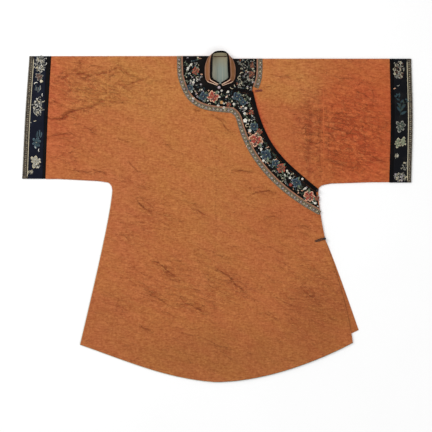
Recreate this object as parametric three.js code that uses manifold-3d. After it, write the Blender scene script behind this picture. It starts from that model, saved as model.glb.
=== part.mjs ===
// A Chinese silk robe, laid flat with its front up, in millimetres.
// X runs along the sleeves, Y runs from the hem to the neck, and Z points up.
// The origin is on the surface that the robe lies on, below the middle of its outline.
import * as THREE from "three";
import { mergeVertices } from "three/addons/utils/BufferGeometryUtils.js";
import Module from "manifold-3d";

const wasm = await Module();
wasm.setup();

// Cloth and the gaps between its layers
const WALL = 1.6;
const SEAM_GAP = 0.3;
const TRIM_WALL = 1.0;
const PIPING_WALL = 1.6;
const LAYER_STEP = WALL + SEAM_GAP;

// Main sizes of the cut
const SHOULDER_LEFT_Y = 541.6;
const SHOULDER_RIGHT_Y = 532.8;
const SLEEVE_SEAM_LEFT_X = -372;
const SLEEVE_SEAM_RIGHT_X = 360;
const CENTRE_X = -6;
const RIBBON_WIDTH = 15;
const PIPING_WIDTH = 4.5;
const BINDING_WIDTH = 14;
const UNDERLAP_HEM_RISE = 14;
const UNDERLAP_SIDE_INSET = 3;
const NECK_BACK_DIP = 1;

// Loft of the cloth: how far the front stands off the back away from its edges
const LOFT = 1.9;
const FLAT_EDGE = 42;
const LOFT_REACH = 130;
const MOST_LOFT = 3.5;
const LATTICE = 32;
const LAP_RAMP = 78;
const CLEAR_ABOVE = 60;
const REACH = 700;

// The largest folds, each a soft ridge (above 0) or trough along a line
const FOLDS = [
  { x1: -576, y1: 331, x2: -440, y2: 380, width: 26, height: 1.5 },
  { x1: -440, y1: 380, x2: -332, y2: 386, width: 24, height: -1.6 },
  { x1: -484, y1: 481, x2: -400, y2: 474, width: 24, height: -1.2 },
  { x1: -349, y1: 444, x2: -230, y2: 467, width: 24, height: 1.2 },
  { x1: 316, y1: 385, x2: 312, y2: 170, width: 34, height: -1.8 },
  { x1: 262, y1: 370, x2: 284, y2: 200, width: 26, height: 1.3 },
  { x1: 434, y1: 274, x2: 480, y2: 300, width: 26, height: -1.2 },
  { x1: -270, y1: 52, x2: -222, y2: 12, width: 26, height: -1.2 },
  { x1: -220, y1: -158, x2: -134, y2: -212, width: 28, height: -1.3 },
  { x1: 2, y1: -185, x2: 97, y2: -260, width: 28, height: -1.3 },
  { x1: -117, y1: -297, x2: -42, y2: -331, width: 26, height: 1.2 },
  { x1: 110, y1: 70, x2: 185, y2: 80, width: 26, height: -1.0 },
];

// Each cuff from sleeve to hand: where its black binding, navy band and ribbon start and end
const CUFF_LEFT = [
  { y: 541.6, seam: -564.7, band: -581.0, ribbon: -621.9, end: -638.9 },
  { y: 335.0, seam: -576.3, band: -587.5, ribbon: -635.5, end: -653.5 },
  { y: 124.8, seam: -584.5, band: -594.0, ribbon: -644.6, end: -663.5 },
];
const CUFF_RIGHT = [
  { y: 532.8, seam: 585.1, band: 598.4, ribbon: 642.3, end: 658.2 },
  { y: 330.0, seam: 588.5, band: 601.5, ribbon: 647.0, end: 663.5 },
  { y: 111.9, seam: 583.4, band: 596.7, ribbon: 643.6, end: 658.2 },
];

// The standing collar from the throat round the back of the neck and down to the throat again
const COLLAR = [
  { footX: -2, footY: 441, footZ: 5.7, rimX: 6, rimY: 448.5, rimZ: 15 },
  { footX: -19, footY: 448, footZ: 5.7, rimX: -6.5, rimY: 455.5, rimZ: 19.5 },
  { footX: -34, footY: 454, footZ: 5.7, rimX: -17.5, rimY: 463, rimZ: 24 },
  { footX: -41, footY: 466, footZ: 5.7, rimX: -19.5, rimY: 472, rimZ: 25 },
  { footX: -43, footY: 487, footZ: 5.7, rimX: -19, rimY: 488, rimZ: 26 },
  { footX: -42, footY: 508, footZ: 5.7, rimX: -18.5, rimY: 511, rimZ: 26 },
  { footX: -34, footY: 530, footZ: 5.7, rimX: -18, rimY: 534, rimZ: 26 },
  { footX: -23, footY: 541, footZ: 5.7, rimX: -15.5, rimY: 547, rimZ: 26 },
  { footX: -10, footY: 540.5, footZ: 2.6, rimX: -7, rimY: 554.5, rimZ: 26 },
  { footX: 10, footY: 540.5, footZ: 2.2, rimX: 9, rimY: 557, rimZ: 26 },
  { footX: 28, footY: 540.5, footZ: 2.6, rimX: 26, rimY: 555, rimZ: 26 },
  { footX: 39, footY: 541, footZ: 4.2, rimX: 33, rimY: 547, rimZ: 26 },
  { footX: 52, footY: 527, footZ: 3.8, rimX: 35, rimY: 533, rimZ: 26 },
  { footX: 60, footY: 506, footZ: 3.8, rimX: 35.5, rimY: 511, rimZ: 26 },
  { footX: 61, footY: 485, footZ: 3.8, rimX: 36.5, rimY: 488, rimZ: 26 },
  { footX: 59, footY: 467, footZ: 3.8, rimX: 37.5, rimY: 472, rimZ: 25 },
  { footX: 51, footY: 453.5, footZ: 3.8, rimX: 36, rimY: 463.5, rimZ: 24 },
  { footX: 35, footY: 447, footZ: 3.8, rimX: 24.5, rimY: 455.5, rimZ: 19.5 },
  { footX: 17, footY: 440, footZ: 3.8, rimX: 12.5, rimY: 448.5, rimZ: 15 },
];
const COLLAR_RIBS = 44;
const COLLAR_BAND_SHARE = 0.72;
const COLLAR_BINDING_START = 0.735;
const COLLAR_WALL = 1.8;
const COLLAR_BINDING_WALL = 2.6;
const COLLAR_PIPING = { sides: 6, out: 1.1, up: 1.7, fromFoot: 3.4 };
const NECK_CUT_INSET = 5;
const COLLAR_CLEARANCE = 0.5;

// Knots, button and loops
const CORD_WIDTH = 2.4;
const BUTTON_RADIUS = 5;
const KNOT_RADIUS = 4.2;

// Colours of the cloths and trims, with their gloss
const cloth = (color, roughness) => new THREE.MeshStandardMaterial({ color, roughness, metalness: 0 });
const SILK = cloth(0xb0693f, 0.55);
const BLACK_SATIN = cloth(0x14151c, 0.4);
const NAVY_SATIN = cloth(0x1b2338, 0.4);
const SILVER_RIBBON = cloth(0x8d8a86, 0.6);
const DARK_RIBBON = cloth(0x3a302b, 0.6);
const PINK_PIPING = cloth(0xc98f74, 0.5);
const LINING = cloth(0x7a8374, 0.6);
const PEARL = cloth(0xc9b3b8, 0.3);
const CORD = cloth(0x17141a, 0.6);
const RED_CORD = cloth(0x6e2f2b, 0.6);

// Plane outlines, as lists of [x, y]
const bezier = (a, b, c, d, steps) =>
  new THREE.CubicBezierCurve(...[a, b, c, d].map((p) => new THREE.Vector2(...p)))
    .getPoints(steps)
    .map((p) => [p.x, p.y]);

function without(list, first, last) {
  return list.slice(first, list.length - last);
}

// A row of points moved to its left by a distance, or to its right by one below 0
function offset(points, distance) {
  return points.map(([x, y], i) => {
    const [ax, ay] = points[Math.max(i - 1, 0)];
    const [bx, by] = points[Math.min(i + 1, points.length - 1)];
    const length = Math.hypot(bx - ax, by - ay);
    return [x - ((by - ay) / length) * distance, y + ((bx - ax) / length) * distance];
  });
}

// The flap's edge from its corner to the underarm, and the outer edge of the border's ribbon
const FLAP_EDGE = bezier([120.7, 421.6], [161, 232], [217, 194], [343.7, 88.7], 12);
const FLAP_TOP = [[3, 434], [62, 426.5], FLAP_EDGE[0]];
const BORDER_EDGE = [
  [-137.7, 560],
  [-137.7, 520],
  ...bezier([-136, 477.7], [-110, 364], [-57, 354], [41.5, 348.5], 12),
  [55.4, 340.3],
  ...bezier([65.3, 320.6], [94, 202], [183, 85], [348.5, -0.3], 10),
  [368, -10],
];
const YOKE_EDGE = [[138, 430], [144.5, 444], [150.5, 466], [153, 495], [153, 529], [152.5, 545]];

// The body's sides and hems
const LEFT_SIDE = [
  ...bezier([-466.5, -438.6], [-407, -187], [-362, 9], [-357, 84], 12),
  [-359.5, 98],
  [-365, 107],
  [SLEEVE_SEAM_LEFT_X, 112],
];
const HEM = [
  ...bezier([459.7, -431.8], [355, -488], [163, -566.8], [-11.9, -565.1], 10),
  ...without(bezier([-11.9, -565.1], [-170, -553], [-282, -504], [-466.5, -438.6], 10), 1, 0),
];
const RIGHT_SIDE = [
  ...bezier([343.7, 88.7], [339, 53], [360, -59], [367.2, -83.3], 6),
  ...without(bezier([367.2, -83.3], [409, -208], [448, -340], [459.7, -431.8], 6), 1, 0),
];
const BACK_RIGHT_SIDE = [
  ...bezier([343.7, 88.7], [339, 53], [360, -59], [367.2, -83.3], 6),
  ...without(bezier([367.2, -83.3], [396, -146], [460, -332], [479.7, -389.3], 6), 1, 0),
];
const BACK_HEM = [
  ...bezier([453.2, -402.2], [330, -470], [150, -556], [-11.9, -557], 10),
  ...without(bezier([-11.9, -557], [-170, -545], [-282, -497], [-463.5, -435], 10), 1, 0),
];
const RIGHT_UNDERARM = [[SLEEVE_SEAM_RIGHT_X, 103.5], [352, 100.5], [345, 94]];
const LEFT_SLEEVE_UNDERSIDE = [[-541, 124], [-491, 121.5], [-406, 117], [SLEEVE_SEAM_LEFT_X, 112]];
const RIGHT_SLEEVE_UNDERSIDE = [[SLEEVE_SEAM_RIGHT_X, 103.5], [386, 108.5], [450, 110.5], [520, 113]];

// The collar's foot and the neck's cut edge, smoothed through the table's rows
const row = (name) => COLLAR.map((r) => new THREE.Vector3(r[name + "X"], r[name + "Y"], r[name + "Z"]));
const smooth = (points) => new THREE.CatmullRomCurve3(points, false, "centripetal");
const footCurve = smooth(row("foot"));
const rimCurve = smooth(row("rim"));

function neckPoints(inset) {
  const feet = Array.from({ length: COLLAR_RIBS + 1 }, (_, i) => footCurve.getPoint(i / COLLAR_RIBS));
  return offset(feet.map((p) => [p.x, p.y]), -inset);
}

// The fronts' neck edges run from the throat up to the shoulder on either side
const LEFT_RIBS = [0, 17];
const RIGHT_RIBS = [28, COLLAR_RIBS + 1];
const NECK_LEFT = neckPoints(NECK_CUT_INSET).slice(...LEFT_RIBS);
const NECK_RIGHT = neckPoints(NECK_CUT_INSET).slice(...RIGHT_RIBS);
const COLLAR_LEFT_FOOT = neckPoints(-COLLAR_CLEARANCE).slice(...LEFT_RIBS);
const COLLAR_RIGHT_FOOT = neckPoints(-COLLAR_CLEARANCE).slice(...RIGHT_RIBS);

// Closed outlines of the pieces, anticlockwise
const FRONT_OUTER = [
  ...[...NECK_LEFT].reverse(),
  ...FLAP_TOP,
  ...without(FLAP_EDGE, 1, 0),
  ...without(RIGHT_SIDE, 1, 0),
  ...without(HEM, 1, 0),
  ...without(LEFT_SIDE, 1, 0),
  [SLEEVE_SEAM_LEFT_X, SHOULDER_LEFT_Y],
  [NECK_LEFT.at(-1)[0], SHOULDER_LEFT_Y],
];
const underlapHem = offset(HEM, -UNDERLAP_HEM_RISE).filter(([x]) => x > CENTRE_X);
const FRONT_INNER = [
  [CENTRE_X, underlapHem.at(-1)[1]],
  [CENTRE_X, 432],
  ...[...NECK_RIGHT].reverse(),
  [NECK_RIGHT[0][0], SHOULDER_RIGHT_Y],
  [SLEEVE_SEAM_RIGHT_X, SHOULDER_RIGHT_Y],
  ...RIGHT_UNDERARM,
  ...without(offset(RIGHT_SIDE, -UNDERLAP_SIDE_INSET), 0, 2),
  ...without(underlapHem, 1, 0),
];
const backNeckY = SHOULDER_LEFT_Y - LAYER_STEP - NECK_BACK_DIP;
const BACK = [
  [NECK_LEFT.at(-1)[0], SHOULDER_LEFT_Y - LAYER_STEP],
  [NECK_LEFT.at(-1)[0], backNeckY],
  [NECK_RIGHT[0][0], backNeckY],
  [NECK_RIGHT[0][0], SHOULDER_RIGHT_Y - LAYER_STEP],
  [SLEEVE_SEAM_RIGHT_X, SHOULDER_RIGHT_Y - LAYER_STEP],
  ...RIGHT_UNDERARM,
  ...BACK_RIGHT_SIDE,
  ...BACK_HEM,
  ...without(LEFT_SIDE, 1, 0),
  [SLEEVE_SEAM_LEFT_X, SHOULDER_LEFT_Y - LAYER_STEP],
];

const column = (rows, name) => rows.map((r) => [r[name], r.y]);

function sleeveOutline(cuff, seamX, shoulderY, underside) {
  const cuffSide = column(cuff, "seam");
  const inside = seamX < 0 ? 1 : -1;
  const shift = (points, dx) => points.map(([x, y]) => [x + dx, y]);
  const free = shift(cuffSide, inside * SEAM_GAP);
  const sewn = underside.map(([x, y]) => (x === seamX ? [x - inside * SEAM_GAP, y] : [x, y]));
  return seamX < 0
    ? [...free, ...sewn, [seamX - SEAM_GAP, shoulderY]]
    : [...[...free].reverse(), [seamX + SEAM_GAP, shoulderY], ...sewn];
}

const SLEEVE_LEFT = sleeveOutline(CUFF_LEFT, SLEEVE_SEAM_LEFT_X, SHOULDER_LEFT_Y, LEFT_SLEEVE_UNDERSIDE);
const SLEEVE_RIGHT = sleeveOutline(CUFF_RIGHT, SLEEVE_SEAM_RIGHT_X, SHOULDER_RIGHT_Y, RIGHT_SLEEVE_UNDERSIDE);

// The whole robe's outline, whose edges lie flat
const SILHOUETTE = [
  ...column(CUFF_LEFT, "end"),
  ...LEFT_SLEEVE_UNDERSIDE,
  ...[...LEFT_SIDE].reverse(),
  ...[...HEM].reverse(),
  ...[...RIGHT_SIDE].reverse(),
  ...RIGHT_SLEEVE_UNDERSIDE,
  ...column(CUFF_RIGHT, "end").reverse(),
  ...neckPoints(0).slice(...RIGHT_RIBS),
  ...neckPoints(0).slice(...LEFT_RIBS),
];

function distanceToLine(x, y, [ax, ay], [bx, by]) {
  const dx = bx - ax;
  const dy = by - ay;
  const along = THREE.MathUtils.clamp(((x - ax) * dx + (y - ay) * dy) / (dx * dx + dy * dy || 1), 0, 1);
  return Math.hypot(x - ax - along * dx, y - ay - along * dy);
}

function distanceToOutline(x, y, outline) {
  const gaps = outline.map((p, i) => distanceToLine(x, y, p, outline[(i + 1) % outline.length]));
  return Math.min(...gaps);
}

function foldAt(x, y) {
  return FOLDS.reduce((sum, f) => {
    const gap = distanceToLine(x, y, [f.x1, f.y1], [f.x2, f.y2]) / f.width;
    return sum + f.height * Math.exp(-gap * gap);
  }, 0);
}

// Height of the front cloth over its flat-lying edges, the same for every layer
const lofts = new Map();
function loft(x, y) {
  const key = x + "," + y;
  if (!lofts.has(key)) {
    const edge = distanceToOutline(x, y, SILHOUETTE);
    const fade = THREE.MathUtils.smoothstep(edge, FLAT_EDGE, LOFT_REACH);
    lofts.set(key, THREE.MathUtils.clamp(fade * (LOFT + foldAt(x, y)), 0, MOST_LOFT));
  }
  return lofts.get(key);
}

// The outer front climbs over the inner front's edge at the centre
const LAP_TOP_X = CENTRE_X - LATTICE;
const lapLift = (x) => THREE.MathUtils.smoothstep(x, LAP_TOP_X - LAP_RAMP, LAP_TOP_X) * LAYER_STEP;

// Layers as height functions of their underside
const FLOOR = () => 0;
const innerFront = (x, y) => LAYER_STEP + loft(x, y);
const outerFront = (x, y) => LAYER_STEP + loft(x, y) + lapLift(x);
const above = (layer, rise) => (x, y) => layer(x, y) + rise;

// Solids
function solidOf(geometry) {
  geometry.deleteAttribute("normal");
  geometry.deleteAttribute("uv");
  const merged = mergeVertices(geometry, 1e-4);
  return new wasm.Manifold(
    new wasm.Mesh({
      numProp: 3,
      vertProperties: new Float32Array(merged.attributes.position.array),
      triVerts: new Uint32Array(merged.index.array),
    }),
  );
}

function geometryOf(solid) {
  const mesh = solid.getMesh();
  const geometry = new THREE.BufferGeometry();
  geometry.setAttribute("position", new THREE.BufferAttribute(mesh.vertProperties, 3));
  geometry.setIndex(new THREE.BufferAttribute(mesh.triVerts, 1));
  const flat = geometry.toNonIndexed();
  flat.computeVertexNormals();
  return flat;
}

function prism(outline, low = -CLEAR_ABOVE, high = CLEAR_ABOVE) {
  const shape = new THREE.Shape(outline.map(([x, y]) => new THREE.Vector2(x, y)));
  const geometry = new THREE.ExtrudeGeometry(shape, { depth: high - low, bevelEnabled: false });
  geometry.translate(0, 0, low);
  return solidOf(geometry);
}

// A slab of cloth over an outline's box, on one lattice that all layers share
function slab(outline, lower, upper) {
  const xs = outline.map((p) => p[0]);
  const ys = outline.map((p) => p[1]);
  const i0 = Math.floor(Math.min(...xs) / LATTICE) - 1;
  const i1 = Math.ceil(Math.max(...xs) / LATTICE) + 1;
  const j0 = Math.floor(Math.min(...ys) / LATTICE) - 1;
  const j1 = Math.ceil(Math.max(...ys) / LATTICE) + 1;
  const across = i1 - i0 + 1;
  const down = j1 - j0 + 1;
  const positions = [];
  for (const side of [lower, upper]) {
    for (let j = j0; j <= j1; j++) {
      for (let i = i0; i <= i1; i++) {
        positions.push(i * LATTICE, j * LATTICE, side(i * LATTICE, j * LATTICE));
      }
    }
  }
  const at = (i, j, level) => level * across * down + j * across + i;
  const index = [];
  const quad = (a, b, c, d) => index.push(a, b, c, a, c, d);
  for (let j = 0; j < down - 1; j++) {
    for (let i = 0; i < across - 1; i++) {
      quad(at(i, j, 1), at(i + 1, j, 1), at(i + 1, j + 1, 1), at(i, j + 1, 1));
      index.push(at(i, j, 0), at(i + 1, j + 1, 0), at(i + 1, j, 0));
      index.push(at(i, j, 0), at(i, j + 1, 0), at(i + 1, j + 1, 0));
    }
  }
  for (let i = 0; i < across - 1; i++) {
    quad(at(i, 0, 0), at(i + 1, 0, 0), at(i + 1, 0, 1), at(i, 0, 1));
    quad(at(i + 1, down - 1, 0), at(i, down - 1, 0), at(i, down - 1, 1), at(i + 1, down - 1, 1));
  }
  for (let j = 0; j < down - 1; j++) {
    quad(at(0, j + 1, 0), at(0, j, 0), at(0, j, 1), at(0, j + 1, 1));
    quad(at(across - 1, j, 0), at(across - 1, j + 1, 0), at(across - 1, j + 1, 1), at(across - 1, j, 1));
  }
  const geometry = new THREE.BufferGeometry();
  geometry.setAttribute("position", new THREE.Float32BufferAttribute(positions, 3));
  geometry.setIndex(index);
  return solidOf(geometry);
}

const between = (outline, lower, upper) => slab(outline, lower, upper).intersect(prism(outline));

const robe = new THREE.Group();
function add(name, solid, material) {
  const mesh = new THREE.Mesh(geometryOf(solid), material);
  mesh.name = name;
  robe.add(mesh);
}

// A panel whose shoulder edge turns down to the surface, as the fold over the shoulder does
function foldedPanel(outline, layer, shoulderY) {
  const blank = between(outline, FLOOR, above(layer, WALL));
  const foldY = shoulderY - WALL;
  const beforeFold = [[-REACH, -REACH], [REACH, -REACH], [REACH, foldY], [-REACH, foldY]];
  return blank.subtract(between(beforeFold, () => -CLEAR_ABOVE, layer));
}

// The back lies flat, and the fronts lie on it
add("back", prism(BACK, 0, WALL), SILK);
add("front_outer", foldedPanel(FRONT_OUTER, outerFront, SHOULDER_LEFT_Y), SILK);
add("front_inner", foldedPanel(FRONT_INNER, innerFront, SHOULDER_RIGHT_Y), SILK);

// A flattened tube, open at both ends
function tube(outline, topY, underside) {
  const xs = outline.map((p) => p[0]);
  const x0 = Math.min(...xs) - LATTICE;
  const x1 = Math.max(...xs) + LATTICE;
  const under = underside.map(([x, y]) => [x, y + WALL]);
  const hollow = [[x0, under[0][1]], ...under, [x1, under.at(-1)[1]], [x1, topY - WALL], [x0, topY - WALL]];
  const outside = between(outline, FLOOR, above(innerFront, WALL));
  return outside.subtract(between(hollow, () => WALL, innerFront));
}

add("sleeve_left", tube(SLEEVE_LEFT, SHOULDER_LEFT_Y, LEFT_SLEEVE_UNDERSIDE), SILK);
add("sleeve_right", tube(SLEEVE_RIGHT, SHOULDER_RIGHT_Y, RIGHT_SLEEVE_UNDERSIDE), SILK);

const CUFF_BANDS = [
  { name: "binding", from: "seam", to: "band", material: BLACK_SATIN },
  { name: "band", from: "band", to: "ribbon", material: NAVY_SATIN },
  { name: "ribbon", from: "ribbon", to: "end", material: DARK_RIBBON },
];

function addCuff(side, cuff) {
  const outwards = cuff[0].end < 0 ? -1 : 1;
  const topY = cuff[0].y;
  const bottomY = cuff.at(-1).y;
  for (const band of CUFF_BANDS) {
    const start = column(cuff, band.from).map(([x, y]) => [x + outwards * SEAM_GAP, y]);
    const end = column(cuff, band.to);
    const outline = outwards < 0 ? [...end, ...start.reverse()] : [...start, ...end.reverse()];
    const underside = [[end[1][0], bottomY]];
    add("cuff_" + side + "_" + band.name, tube(outline, topY, underside), band.material);
  }
}

addCuff("left", CUFF_LEFT);
addCuff("right", CUFF_RIGHT);

// The border on the outer front: its rails run beside each other, from the ribbon's edge inwards
const rail = (distance) => offset(BORDER_EDGE, distance);
const strip = (start, end) => [...rail(start), ...rail(end).reverse()];
const pipingEnd = RIBBON_WIDTH + SEAM_GAP + PIPING_WIDTH;
const outerTop = above(outerFront, LAYER_STEP);
const onOuterFront = prism(FRONT_OUTER);

function addBorder(name, outline, height, material) {
  const solid = between(outline, outerTop, above(outerTop, height)).intersect(onOuterFront);
  add(name, solid, material);
}

addBorder("border_ribbon", strip(0, RIBBON_WIDTH), TRIM_WALL, SILVER_RIBBON);
addBorder("border_piping", strip(RIBBON_WIDTH + SEAM_GAP, pipingEnd), PIPING_WALL, PINK_PIPING);

const bindingWidths = [5, 5, 9];
const bindingInner = [
  ...FLAP_TOP.slice(0, 2).map(([x, y], i) => [x, y - bindingWidths[i]]),
  ...without(offset(FLAP_EDGE, -BINDING_WIDTH), 1, 0),
  [360, 62],
];
const bindingOuter = [...FLAP_TOP, ...without(FLAP_EDGE, 1, 0), [360, 75]];
addBorder("border_binding", [...bindingOuter, ...[...bindingInner].reverse()], TRIM_WALL, BLACK_SATIN);

const satinInner = [
  [-100, 560],
  [COLLAR_LEFT_FOOT.at(-1)[0] - 2, 560],
  ...[...COLLAR_LEFT_FOOT].reverse(),
  ...bindingInner.map(([x, y]) => [x - SEAM_GAP, y - SEAM_GAP]),
];
addBorder(
  "border_satin",
  [...rail(pipingEnd + SEAM_GAP), ...satinInner.reverse()],
  TRIM_WALL,
  BLACK_SATIN,
);

// The yoke's other part, on the inner front, ends under the flap
const innerTop = above(innerFront, LAYER_STEP);
const yokeRail = (distance) => offset(YOKE_EDGE, distance);
const grownFlap = [
  [-60, 442],
  [3, 434 + SEAM_GAP],
  [62, 426.5 + SEAM_GAP],
  ...offset(FLAP_EDGE, SEAM_GAP),
  [360, -100],
  [-60, -100],
];
const beyondFlap = prism(FRONT_INNER).subtract(prism(grownFlap));

function addYoke(name, outline, height, material) {
  add(name, between(outline, innerTop, above(innerTop, height)).intersect(beyondFlap), material);
}

addYoke("yoke_inner_ribbon", [...yokeRail(0), ...yokeRail(RIBBON_WIDTH).reverse()], TRIM_WALL, SILVER_RIBBON);
addYoke(
  "yoke_inner_piping",
  [...yokeRail(RIBBON_WIDTH + SEAM_GAP), ...yokeRail(pipingEnd).reverse()],
  PIPING_WALL,
  PINK_PIPING,
);
addYoke(
  "yoke_inner_satin",
  [
    ...yokeRail(pipingEnd + SEAM_GAP),
    [COLLAR_RIGHT_FOOT[0][0] + 2, 560],
    ...COLLAR_RIGHT_FOOT,
    [20, 430],
    [60, 400],
    [yokeRail(pipingEnd)[0][0], 400],
  ],
  TRIM_WALL,
  BLACK_SATIN,
);

// The lining shows on the back's inside, in the neck
const liningCut = neckPoints(NECK_CUT_INSET + COLLAR_CLEARANCE);
add("neck_lining", prism(liningCut, LAYER_STEP, LAYER_STEP + TRIM_WALL), LINING);

// The collar, lofted through ribs worked out from its table
function collarRib(t) {
  const foot = footCurve.getPoint(t);
  const rim = rimCurve.getPoint(t);
  const along = footCurve.getTangent(t).add(rimCurve.getTangent(t)).normalize();
  const rise = new THREE.Vector3().subVectors(rim, foot);
  const outwards = new THREE.Vector3().crossVectors(rise, along).normalize();
  const level = new THREE.Vector3(outwards.x, outwards.y, 0).normalize();
  const across = level.divideScalar(level.dot(outwards));
  return { foot, rise, outwards, across };
}

// A closed solid through rings of points, each ring given by a function of the place along the collar
function loftSolid(ring, start = 0, end = 1) {
  const rings = [];
  for (let i = 0; i <= COLLAR_RIBS; i++) {
    rings.push(ring(THREE.MathUtils.lerp(start, end, i / COLLAR_RIBS)));
  }
  const count = rings[0].length;
  const positions = rings.flat().flatMap((p) => p.toArray());
  const index = [];
  for (let i = 0; i < rings.length - 1; i++) {
    for (let k = 0; k < count; k++) {
      const a = i * count + k;
      const b = i * count + ((k + 1) % count);
      index.push(a, b + count, b, a, a + count, b + count);
    }
  }
  const last = (rings.length - 1) * count;
  for (let k = 1; k < count - 1; k++) {
    index.push(0, k, k + 1);
    index.push(last, last + k + 1, last + k);
  }
  const geometry = new THREE.BufferGeometry();
  geometry.setAttribute("position", new THREE.Float32BufferAttribute(positions, 3));
  geometry.setIndex(index);
  return solidOf(geometry);
}

// Points of a ring across the collar: the share of the rise, and how far out of the wall each one lies
function collarRing(t, places) {
  const { foot, rise, across } = collarRib(t);
  return places.map(([up, out]) => foot.clone().addScaledVector(rise, up).addScaledVector(across, out));
}

const bandPlaces = [[0, 0], [0, -COLLAR_WALL], [COLLAR_BAND_SHARE, -COLLAR_WALL], [COLLAR_BAND_SHARE, 0]];
const halfBinding = COLLAR_BINDING_WALL / 2;
const bindingPlaces = [
  [COLLAR_BINDING_START, halfBinding - COLLAR_WALL / 2],
  [COLLAR_BINDING_START, -halfBinding - COLLAR_WALL / 2],
  [0.94, -halfBinding - COLLAR_WALL / 2],
  [1, -COLLAR_WALL / 2],
  [0.94, halfBinding - COLLAR_WALL / 2],
];
add("collar", loftSolid((t) => collarRing(t, bandPlaces)), SILK);
add("collar_binding", loftSolid((t) => collarRing(t, bindingPlaces)), BLACK_SATIN);

// The collar's pipings lie on its outer face, at a distance above the foot or below the binding
function pipingRing(t, fromFoot, share) {
  const { foot, rise, outwards } = collarRib(t);
  const upwards = rise.clone().normalize();
  const middle = foot
    .clone()
    .addScaledVector(rise, share)
    .addScaledVector(upwards, fromFoot)
    .addScaledVector(outwards, COLLAR_CLEARANCE + COLLAR_PIPING.out);
  return Array.from({ length: COLLAR_PIPING.sides }, (_, k) => {
    const angle = (-k * 2 * Math.PI) / COLLAR_PIPING.sides;
    return middle
      .clone()
      .addScaledVector(outwards, Math.cos(angle) * COLLAR_PIPING.out)
      .addScaledVector(upwards, Math.sin(angle) * COLLAR_PIPING.up);
  });
}

add("collar_piping_foot", loftSolid((t) => pipingRing(t, COLLAR_PIPING.fromFoot, 0)), PINK_PIPING);
add("collar_piping_rim", loftSolid((t) => pipingRing(t, -COLLAR_PIPING.up, COLLAR_BAND_SHARE)), PINK_PIPING);

// A loop of cord, doubled back on itself: two runs and a round end
function loopSolid(x1, y1, x2, y2, z, width) {
  const length = Math.hypot(x2 - x1, y2 - y1);
  const shape = new THREE.Shape();
  shape.moveTo(0, -width / 2);
  shape.lineTo(length, -width / 2);
  shape.absarc(length, 0, width / 2, -Math.PI / 2, Math.PI / 2, false);
  shape.lineTo(0, width / 2);
  shape.closePath();
  const geometry = new THREE.ExtrudeGeometry(shape, { depth: CORD_WIDTH, bevelEnabled: false, curveSegments: 6 });
  geometry.rotateZ(Math.atan2(y2 - y1, x2 - x1));
  geometry.translate(x1, y1, z);
  return solidOf(geometry);
}

function ball(radius, x, y, z) {
  const geometry = new THREE.SphereGeometry(radius, 12, 8);
  geometry.translate(x, y, z);
  return solidOf(geometry);
}

// Heights of what lies on the trims near the flap's edge
const onOuterTrim = 2 * LAYER_STEP + WALL + SEAM_GAP + TRIM_WALL + SEAM_GAP;
const throat = { x: 5.5, y: 434 };
const ringSeat = onOuterTrim;
const ringProfile = [[3.7, 0], [5.4, 0], [5.9, 0.8], [5.4, 1.6], [3.7, 1.6], [3.7, 0]];
const ring = new THREE.LatheGeometry(ringProfile.map(([r, z]) => new THREE.Vector2(r, z)), 16);
ring.rotateX(Math.PI / 2);
ring.translate(throat.x, throat.y, ringSeat);
const throatLoop = solidOf(ring).add(loopSolid(throat.x - 5, throat.y, throat.x - 16, throat.y + 3, ringSeat, 3));
add("throat_loop", throatLoop, CORD);
add("throat_button", ball(BUTTON_RADIUS, throat.x, throat.y, ringSeat + 5.6), PEARL);

const cornerLoop = { x1: 126, y1: 422, x2: 149, y2: 425 };
const cornerSeat = innerTop(cornerLoop.x2, cornerLoop.y2);
add(
  "corner_loop",
  loopSolid(cornerLoop.x1, cornerLoop.y1, cornerLoop.x2, cornerLoop.y2, cornerSeat, 5),
  RED_CORD,
);
add("underarm_knot", ball(KNOT_RADIUS, 338, 84, onOuterTrim + KNOT_RADIUS), CORD);
const clothTop = 2 * LAYER_STEP + WALL + SEAM_GAP;
const sideLoop = loopSolid(329, -88.5, 360, -79.5, clothTop, 5);
add("side_loop", sideLoop.add(ball(KNOT_RADIUS, 364, -78.5, clothTop + KNOT_RADIUS)), CORD);

export default robe;
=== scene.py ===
import itertools
import math
import random
from collections import namedtuple

import bpy
import numpy as np
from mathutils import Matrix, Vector
from mathutils.geometry import delaunay_2d_cdt
from mathutils.kdtree import KDTree


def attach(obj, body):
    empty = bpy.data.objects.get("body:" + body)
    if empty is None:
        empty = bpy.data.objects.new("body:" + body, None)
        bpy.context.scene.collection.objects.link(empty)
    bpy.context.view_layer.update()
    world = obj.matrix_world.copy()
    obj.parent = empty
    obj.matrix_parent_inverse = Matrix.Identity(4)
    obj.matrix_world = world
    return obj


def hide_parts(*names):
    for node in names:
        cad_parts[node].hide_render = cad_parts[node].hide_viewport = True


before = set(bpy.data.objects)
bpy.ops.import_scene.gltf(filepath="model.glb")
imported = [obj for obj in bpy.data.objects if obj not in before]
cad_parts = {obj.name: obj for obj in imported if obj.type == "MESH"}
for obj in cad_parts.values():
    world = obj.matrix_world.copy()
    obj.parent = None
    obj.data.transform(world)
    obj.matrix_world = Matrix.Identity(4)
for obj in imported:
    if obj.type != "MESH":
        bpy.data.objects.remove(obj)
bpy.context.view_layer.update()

MM = 0.001
SEED = 11

# The camera looks straight down from far above, framed as the photograph is
PHOTO_PIXEL = 3.4
PHOTO_SIDE = 432 * PHOTO_PIXEL * MM
FRAME_CENTRE = (-5.1 * MM, -1.7 * MM)
LENS = 85.0
SENSOR = 36.0


def add_camera():
    data = bpy.data.cameras.new("camera")
    data.lens = LENS
    data.sensor_width = SENSOR
    camera = bpy.data.objects.new("camera", data)
    camera.location = (*FRAME_CENTRE, PHOTO_SIDE * LENS / SENSOR)
    bpy.context.scene.collection.objects.link(camera)
    bpy.context.scene.camera = camera


add_camera()

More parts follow.
